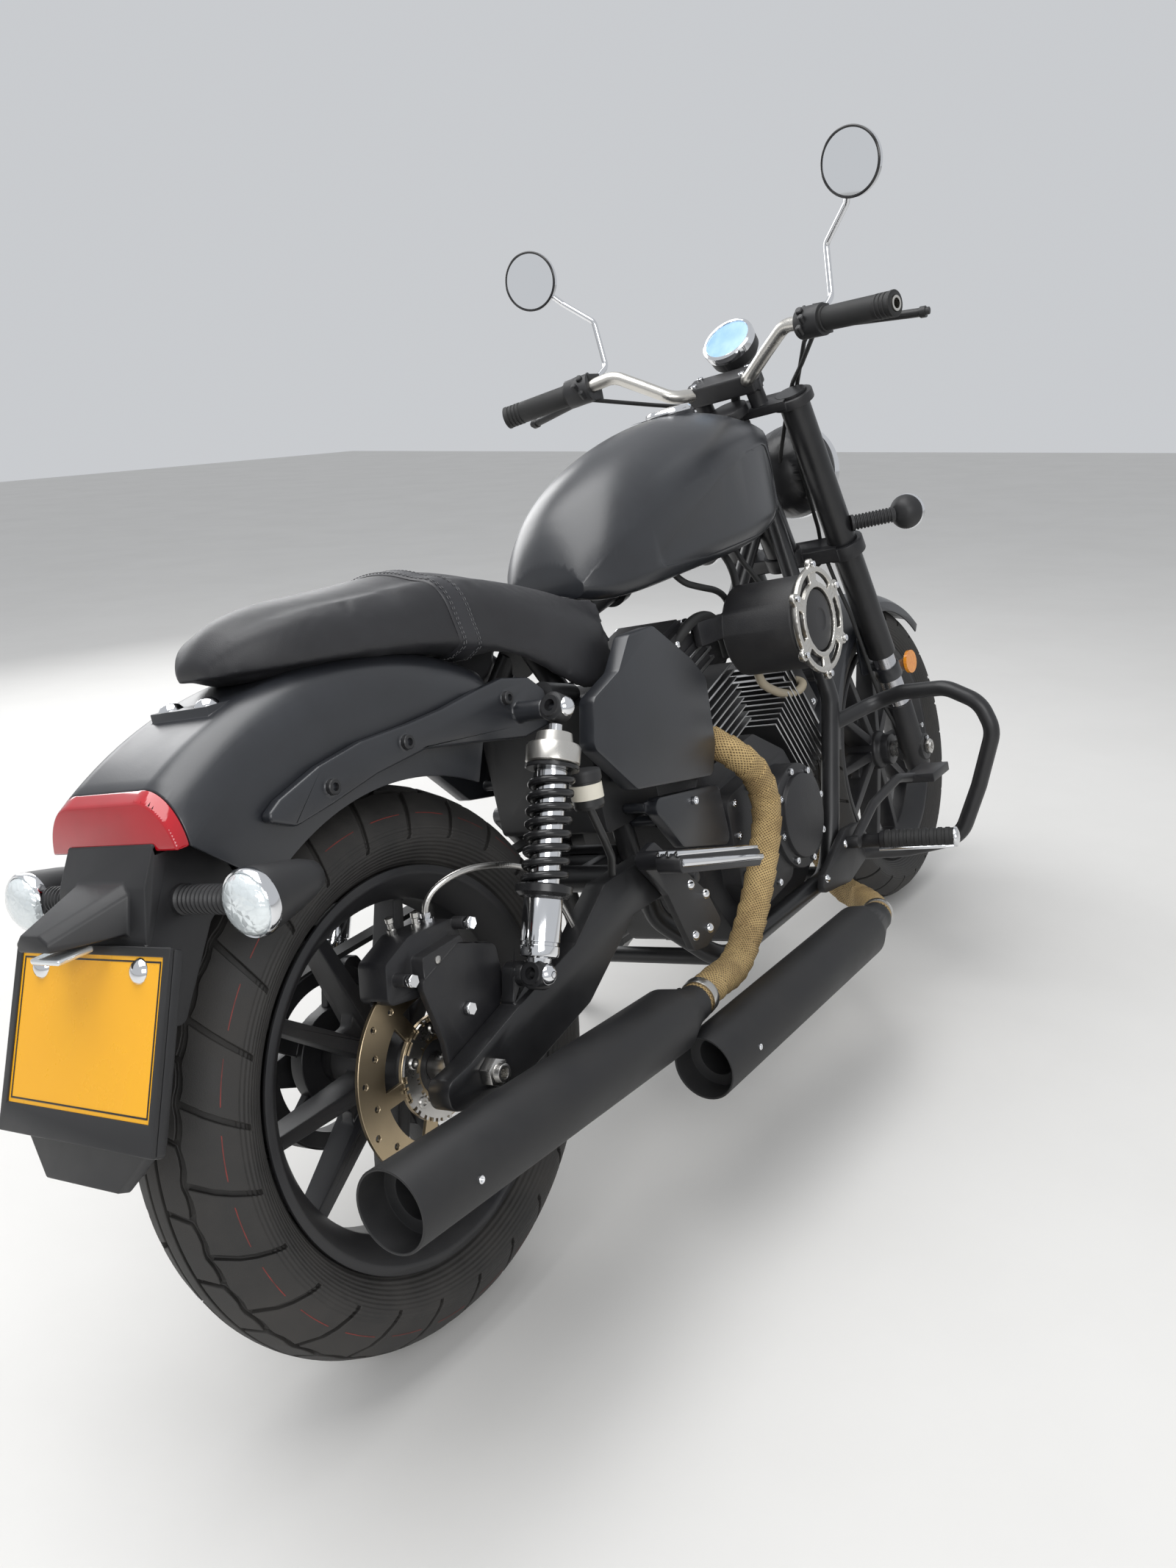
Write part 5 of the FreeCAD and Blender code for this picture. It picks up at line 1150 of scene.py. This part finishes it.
def tape_finish():
    """Glass cloth in tan and brown, woven on the sleeve's own map, which is in metres; the near-black brown
    between the threads is painted shade.
    """
    material, tree, shader = shader_of("wound_heat_tape")
    place = add_node(tree, "TexCoord").outputs["UV"]
    threads = []
    for angle in (38, -52):
        turn_map = add_node(tree, "Mapping", {"Vector": place, "Rotation": (0, 0, math.radians(angle))})
        wave = add_node(tree, "TexWave", {"Vector": turn_map.outputs["Vector"], "Scale": 88,
                                          "Distortion": 1.2,
                                          "Detail": 1})
        threads.append(wave.outputs["Fac"])
    cloth = add_node(tree, "Math", dict(enumerate(threads)), operation="MAXIMUM").outputs[0]
    mottle = mottled(tree, shader, (0.58, 0.41, 0.18), (0.26, 0.17, 0.07), 0.9, 20, (0.68, 0.85))
    # Painted shade: where the weave is low, between the threads, the colour goes to a near-black brown.
    painted_valley_shade = add_node(tree, "Mix", {0: cloth, 6: (0.07, 0.042, 0.016, 1), 7: mottle.outputs["Color"]},
                     data_type="RGBA")
    tree.links.new(painted_valley_shade.outputs[2], shader.inputs["Base Color"])
    raised(tree, shader, cloth, 0.0011)
    return material


WOUND_TAPE = tape_finish()


def wrapped_header(name, route):
    """A header pipe under its tape."""
    line = smooth_line(route)
    length = sum((b - a).length for a, b in zip(line, line[1:])) / MM
    rings = round(length * tape_sides / tape_width)
    pitch = length / rings * tape_sides

    def wound(along, turn_by):
        lap = (along / pitch - turn_by / (2 * math.pi)) % 1.0
        return pipe_radius + tape_step * (1 - lap)

    piece = sleeve(name, route, wound, rings, tape_sides)
    for corner in piece.data.uv_layers.active.data:
        corner.uv = (corner.uv.x * length * MM, corner.uv.y * 2 * math.pi * mapped_radius)
    return piece


rear_route = [(-106, -30, 588), (-142, -58, 568), (-108, -120, 524), (-100, -160, 495), (-66, -172, 458),
              (-52, -172, 400), (-92, -172, 338), (-160, -174, 270), (-250, -186, 232), (-330, -200, 250),
              (-388, -205.5, 248)]
front_route = [(330, -12, 436), (362, -18, 384), (332, -44, 262), (268, -96, 166), (180, -206, 166),
               (96, -243, 178)]
headers = joined("wrapped_headers", [wrapped_header("rear", rear_route), wrapped_header("front",
                                                                                        front_route)])
settle(headers, WOUND_TAPE, "chassis", ["exhaust_headers"], smooth=50)


def band_clamp(name, centre, direction, radius):
    """A steel band with its screw, closed round a pipe."""
    ring = turned(name, (
        (radius - 1, -7), (radius + 1.6, -7), (radius + 2.2, -6), (radius + 2.2, 6), (radius + 1.6, 7),
        (radius - 1, 7), (radius - 1, -7)), place_of(centre), direction, 48)
    side = Vector(direction).normalized().cross(Vector((0, 0, 1))).normalized()
    middle = place_of(centre) + side * (radius + 5) * MM
    reach = Vector((0, 0, 11 * MM))
    screw = bar(name, middle - reach, middle + reach, 3 * MM, 12, 0.5 * MM)
    lug = bar(name, middle - reach * 0.4, middle + reach * 0.4, 5.5 * MM, 6, 0.6 * MM)
    return settle(joined(name, [ring, screw, lug]), BRIGHT_STEEL, "chassis")


band_clamp("rear_header_clamp", (-374, -204.2, 248.5), (-1, -0.09, -0.03), 22)
band_clamp("front_header_clamp", (110, -237.3, 176), (-0.9, -0.4, 0.13), 22)
softened("mufflers", 1.2)
bolts("muffler_screws", "socket", RIGHT, 4, [(-862, -252.7, 285.7), (-372, -273.5, 185)])

# %% [markdown]
# ## Engine
# The two finned cylinders lean apart. Their fins are black with the edges left bright, so the faces on
# the rim of each fin get the second finish. Chromed screws hold the rocker boxes, covers and filter ring.

# %% Finned cylinders and heads
crank_place = (41, -12, 330)
cylinder_tilts = (-17, 57)
BRIGHT_FIN = finish("bright_fin_edge", (0.60, 0.60, 0.60), (0.36, 0.36, 0.36), 0.5, (0.24, 0.4), metal=1.0)


def over_crank(tilt):
    """The matrix from a cylinder's own frame, Z along its axis, to the machine."""
    return Matrix.Translation(place_of(crank_place)) @ Matrix.Rotation(math.radians(tilt), 4, "Y")


def bright_rims(node, half_length, half_width, low, high):
    """Softens a finned solid and gives the narrow faces on its fins' rims the bright finish."""
    piece = soft_copy(node, 0.6, 1)
    piece.data.materials.append(BRIGHT_FIN)
    backs = [(lean @ over_crank(tilt)).inverted() for tilt in cylinder_tilts]
    for face in piece.data.polygons:
        for back in backs:
            x, y, z = back @ face.center / MM
            across = abs((back.to_3x3() @ face.normal).z) < 0.8
            near = abs(x) < half_length + 0.5 and abs(y) < half_width + 0.5
            outer = abs(x) > half_length - 0.8 or abs(y) > half_width - 0.8
            if across and near and outer and low < z < high:
                face.material_index = 1
    return settle(piece, None, "chassis", [node], leaning=True)


bright_rims("cylinders", 75, 96, 160, 272)
bright_rims("cylinder_heads", 71, 74, 275, 315)


def head_bolts():
    """Screws on both rocker boxes, on the top and along the sides."""
    heads = []
    for tilt in cylinder_tilts:
        spots = [((x, y, 351.2), UP) for x in (-49, 49) for y in (-59, 59)]
        spots += [((x, side * 66, 337), (0, side, 0)) for x in (-44, 0, 44) for side in (-1, 1)]
        for spot, way in spots:
            head = linked("rocker_box_screws", HEADS["dome"].copy())
            head.data.transform(over_crank(tilt) @ facing(way, place_of(spot)) @ Matrix.Scale(6.5 * MM, 4))
            heads.append(head)
    return settle(joined("rocker_box_screws", heads), CHROME, "chassis")


head_bolts()

# %% Covers, filter and their screws
for name, width in (("crankcase", 2.2), ("side_covers", 3.0), ("swingarm", 2.2), ("air_cleaner", 2.4),
                    ("battery_box", 1.5), ("radiator", 1.0), ("triple_clamps", 1.6),
                    ("hand_controls", 1.4), ("headlight", 1.0), ("foot_pegs", 1.4), ("brake_pedal", 1.6),
                    ("shift_lever", 1.0), ("side_stand", 1.2), ("front_fender", 0.6), ("tank_cap", 0.8),
                    ("fuel_tank", 1.0)):
    softened(name, width, 2)
softened("gauge", 1.0, 2, MOULDED_BLACK)


def round_cover(centre, *circle):
    """Points on a circle round a cover's centre, all at one y."""
    return round_axle(Vector((centre[0], 0, centre[1])) * MM, *circle)


bolts("clutch_cover_screws", "socket", RIGHT, 5.5, round_cover((95, 345), -146, 74, 8, 10))
bolts("gear_cover_screws", "socket", RIGHT, 5.5,
      [(-92, -138, 312), (-94, -138, 372), (-92, -138, 420), (-40, -138, 430), (12, -138, 436), (-58, -138,
                                                                                                 262),
       (0, -138, 268)])
bolts("generator_cover_screws", "socket", LEFT, 5.5, round_cover((61, 330), 132, 66, 6, 0))
bolts("filter_ring_screws", "socket", RIGHT, 5, round_cover((115, 640), -225.3, 82, 6, 30))
bolts("side_cover_screws", "socket", RIGHT, 6, [(-197, -140, 455)], twin=True)
bolts("rider_plate_bolts", "dome", RIGHT, 7, [(118, -160, 232), (205, -160, 262), (262, -160, 262)], CHROME,
      "chassis",
      twin=True)
bolts("passenger_plate_bolts", "dome", RIGHT, 7.5,
      [(-256, -168, 342), (-288, -168, 366), (-300, -168, 300), (-262, -168, 296), (-362, -168, 428)],
      twin=True)
settle(turned("filter_boss", (
    (0, 0), (46, 0), (46.5, 3), (45, 5), (30, 8), (18, 9), (16, 7.5), (0, 7.5)), place_of((115, -216, 640)),
    RIGHT),
    ENGINE_BLACK, "chassis")

# %% [markdown]
# ## Filter ring
# The bright casting on the filter is two hoops joined by six arms that end in lugs. Plain hoops, bars and
# discs are pushed together and remeshed as one skin, which leaves the soft corners of a casting.

# %% Cast ring
filter_centre, filter_face = (115, 640), -216.3


def filter_spot(radius, degrees, out):
    """A point on the filter's face, in metres."""
    return place_of((filter_centre[0] + radius * math.cos(math.radians(degrees)), filter_face - out,
                     filter_centre[1] + radius * math.sin(math.radians(degrees))))


pieces = [turned("hoop", ((low, 0), (high, 0), (high, 8.5), (low, 8.5), (low, 0)),
                 filter_spot(0, 0, 0.2), RIGHT, 96) for low, high in ((48, 56), (71, 79.5))]
for arm in range(6):
    degrees = 30 + 60 * arm
    for shift in (-7, 0, 7):
        pieces.append(bar("arm", filter_spot(53, degrees + shift * 0.9, 4.4), filter_spot(74, degrees + shift,
                                                                                          4.4),
                          4.0 * MM, 16))
    pieces.append(bar("lug", filter_spot(82, degrees, 0.2), filter_spot(82, degrees, 8.8), 9 * MM, 24))
ring = joined("filter_ring", pieces)
with_modifier(ring, "REMESH", mode="VOXEL", voxel_size=1.5 * MM, use_smooth_shade=True)
with_modifier(ring, "SMOOTH", factor=0.5, iterations=3)
settle(ring, BAR_SILVER, "chassis", ["air_cleaner_ring"], smooth=60)

# %% Fork legs
legs = soft_copy("fork_lowers", 1.4)
legs.data.materials.append(CAST_BLACK)
upright = lean.inverted()
black_below, black_ahead = 0.402, 0.685
for face in legs.data.polygons:
    spot = upright @ face.center
    if spot.z < black_below or spot.x > black_ahead:
        face.material_index = 1
settle(legs, None, "steering", ["fork_lowers"], leaning=True)
bolts("fork_pinch_bolts", "socket", RIGHT, 5, [(712, -126, 316), (700, -124, 345)], CHROME, "steering",
      twin=True)

# %% Hoses on the engine
TAN_HOSE = finish("tan_hose", (0.42, 0.36, 0.26), (0.28, 0.24, 0.18), 0.4, (0.45, 0.6))


def plain_hose(name, route, radius, material):
    """A round hose along a route in millimetres."""
    tube = sleeve(name, route, lambda along, turn_by: radius, 40, 16)
    return settle(tube, material, "chassis")


plain_hose("breather_hose", [(125, -100, 576), (127, -100, 556), (153, -100, 539), (201, -100, 519), (256,
                                                                                                      -100,
                                                                                                      511),
                             (288, -98, 523), (291, -78, 526)], 7, TAN_HOSE)
plain_hose("oil_line", [(-60, -60, 640), (-52, -84, 668), (-10, -90, 684), (40, -88, 676), (66, -84, 640),
                        (70, -84, 610)], 8, GRIP_RUBBER)
plain_hose("fuel_line", [(-20, -60, 768), (-14, -74, 738), (20, -90, 722), (60, -92, 712), (90, -90, 694),
                         (100, -88, 670)], 5, GRIP_RUBBER)
plain_hose("vent_hose", [(140, -60, 778), (142, -78, 745), (134, -86, 722), (122, -92, 700)], 6, GRIP_RUBBER)
plain_hose("ignition_lead", [(275, -70, 547), (262, -92, 590), (245, -92, 650), (225, -76, 710), (210, -56,
                                                                                                  750),
                             (205, -50, 785)], 4.5, GRIP_RUBBER)

# %% [markdown]
# ## Bar, mirrors and instrument
# Rubber grips have ribs all round. The mirrors carry flat glass in a black rim, and the instrument a
# blank pale-blue face under a chromed ring.

# %% Grips, glass and dial
MIRROR_GLASS = finish("mirror_glass", (0.90, 0.91, 0.92), (0.88, 0.89, 0.90), 0.2, (0.01, 0.03), metal=1.0)
DIAL_BLUE = finish("pale_blue_dial", (0.22, 0.42, 0.66), (0.34, 0.56, 0.80), 0.6, (0.1, 0.16), patch_scale=30,
                   coat=1.0)
bar_end, bar_out = (243, -365, 1061), Vector((-0.2207, -0.971, -0.088))
grip_line = [(0, -128), (17.4, -128), (19.4, -127), (19.4, -123), (17.4, -122)]
grip_line += [(18.0, -120), (18.2, -80), (18.2, -36)]
for i in range(4):
    grip_line += [(17.3, -34 + i * 7), (17.3, -33 + i * 7), (18.6, -32 + i * 7), (18.6, -28 + i * 7)]
grip_line += [(19.2, -6), (19.2, -3), (17.5, -2), (12, -2)]
grip = turned("ribbed_grips", grip_line[1:], place_of(bar_end), bar_out, 40)
settle(doubled(with_modifier(grip, "SOLIDIFY", thickness=0.3 * MM, offset=-1)), GRIP_RUBBER, "steering")

lever_route = [(309.7, -221.3, 1074), (318, -238, 1070), (326, -256, 1064.9), (331, -320, 1056), (335, -362,
                                                                                                  1050),
               (336, -374, 1049)]
blade = sleeve("lever_blades", lever_route, lambda along, turn_by: 6.4 + 1.6 * math.cos(turn_by) ** 2 + (
    2.0 if along > 148 else 0.0), 60, 20)
settle(doubled(blade), MOULDED_BLACK, "steering")
knobs = []
for x, y, z, radius, height in ((262, -208, 1090, 6, 7), (252, -214, 1078, 5, 8), (256, -206, 1066, 5, 6),
                                (286, -206, 1098, 3.2, 4), (300, -218, 1096, 3.2, 4)):
    knobs.append(turned("knob", (
        (0, -9), (radius, -9), (radius, height - 1.5), (radius - 1.5, height), (0, height)), place_of((x, y,
                                                                                                       z)),
        (-0.75, 0, 0.66), 20))
settle(doubled(joined("switch_knobs", knobs)), MOULDED_BLACK, "steering")

bar_clamp = block("bar_clamp", (380, 0, 1027), (0.048, 0.128, 0.034), -24)
rounded(bar_clamp, 5 * MM, 4)
settle(bar_clamp, CAST_BLACK, "steering")
clamp_up = (-0.41, 0, 0.91)
bolts("bar_clamp_bolts", "socket", clamp_up, 5.5,
      [(380 - 0.41 * 16 + a * 0.91, b, 1027 + 0.91 * 16 + a * 0.41) for a in (-15, 15) for b in (-46, 46)],
      CHROME,
      "steering")

mirror_place, mirror_way = (312, -303, 1282), (-0.94, 0.12, -0.08)
glass = turned("mirror_glass", [(0, 0.9), (45.5, 0.9), (46, 0.2), (0, 0.2)],
               place_of(mirror_place), mirror_way, 64)
settle(doubled(glass), MIRROR_GLASS, "steering")
rim = turned("mirror_rims", (
    (45.5, -1), (48, -1.5), (49.5, 0), (49.5, 1.2), (48, 2.4), (46, 1.8), (45.5, -1)), place_of(mirror_place),
    mirror_way, 64)
settle(doubled(rim), SPRING_BLACK, "steering")

gauge_place, gauge_way = (426, 0, 1101), (-0.72, 0, 0.69)
settle(turned("gauge_face", [(0, 6.8), (40, 6.8), (40.5, 5.5), (0, 5.5)], place_of(gauge_place),
              gauge_way, 64), DIAL_BLUE, "steering")
settle(turned("gauge_rim", (
    (39.5, 5), (40.5, 8.6), (43, 9.4), (46.4, 7), (47.2, 2), (46.6, -6), (44, -6), (44, 4), (39.5, 5)),
    place_of(gauge_place), gauge_way, 64), CHROME, "steering")

# %% Headlight and front signals
headlight_place, headlight_way = (563, 0, 868), (1, 0, -0.03)
settle(turned("headlight_lens", (
    (0, 46), (74, 40), (77, 41), (76, 45), (60, 52), (40, 56), (20, 58), (0, 58.6)),
    place_of(headlight_place),
    headlight_way, 72), FACETED_LENS, "steering")
settle(turned("headlight_rim", (
    (75, 40), (78, 47), (82, 47), (86, 42), (86.5, 32), (85, 24), (83, 24), (83, 36), (75, 40)),
    place_of(headlight_place), headlight_way, 72), CHROME, "steering")
signal("front_signal", (580, -206, 757), AHEAD, "steering", "front_signals", (519, -126.5, 757), (560, -192,
                                                                                                  757),
       [(0, -26), (10, -25.4), (18, -22), (25, -13), (28.5, -6), (30, -2)])

# %% Peg pads and the rear fluid cup
pad_bars = [bar("pad_bar", place_of((-411, y, 447.5)), place_of((-222, y, 394)), 3.6 * MM, 16, 1.2 * MM)
            for y in (-236, -223, -210)]
pad_bars.append(bar("pad_bar", place_of((-411, -241, 436)), place_of((-222, -241, 381)), 5 * MM, 16,
                    1.6 * MM))
settle(doubled(joined("passenger_pad_bars", pad_bars)), CHROME, "chassis")
peg_rings = [(0, 0)]
for i in range(9):
    peg_rings += [(15.2, 8 + i * 12), (16.6, 9 + i * 12), (16.6, 15 + i * 12), (15.2, 16 + i * 12)]
peg_rings += [(15.2, 117), (0, 118)]
settle(doubled(turned("rider_peg_sleeves", peg_rings, place_of((252, -200, 252)),
                      (24, -115, -6), 32)), GRIP_RUBBER, "chassis")
peg_edges = [bar("peg_edge", place_of((252 + x, -200, 240)), place_of((276 + x, -317, 234)), 3.4 * MM, 12,
                 1 * MM)
             for x in (-11, 0, 11)]
peg_edges.append(turned("peg_edge", [(0, 0), (16, 0), (16.5, 2), (15.5, 5), (8, 8), (0, 9)],
                        place_of((276, -315, 246)), (24, -115, -6), 32))
settle(doubled(joined("rider_peg_edges", peg_edges)), CHROME, "chassis")

CREAM_BAND = finish("cream_band", (0.72, 0.68, 0.58), (0.62, 0.58, 0.48), 0.4, (0.5, 0.6))
cup_place, cup_way = (-452, -156, 520), (0.05, 0, 1)
settle(turned("fluid_cup_cap", (
    (0, 33), (20.4, 33), (20.8, 34), (20.8, 43), (19.6, 46), (12, 47.6), (0, 48)), place_of(cup_place),
    cup_way, 28),
    MOULDED_BLACK, "chassis", smooth=20)
settle(turned("fluid_cup_band", (
    (18.6, 12), (19.6, 12), (19.6, 30), (18.6, 30), (18.6, 12)), place_of(cup_place), cup_way), CREAM_BAND,
    "chassis")

# %% Close the work
floor_paint = finish("pale_floor", (0.70, 0.69, 0.67), (0.64, 0.63, 0.61), 0.4, (0.7, 0.8), patch_scale=2)
floor.data.materials.append(floor_paint)
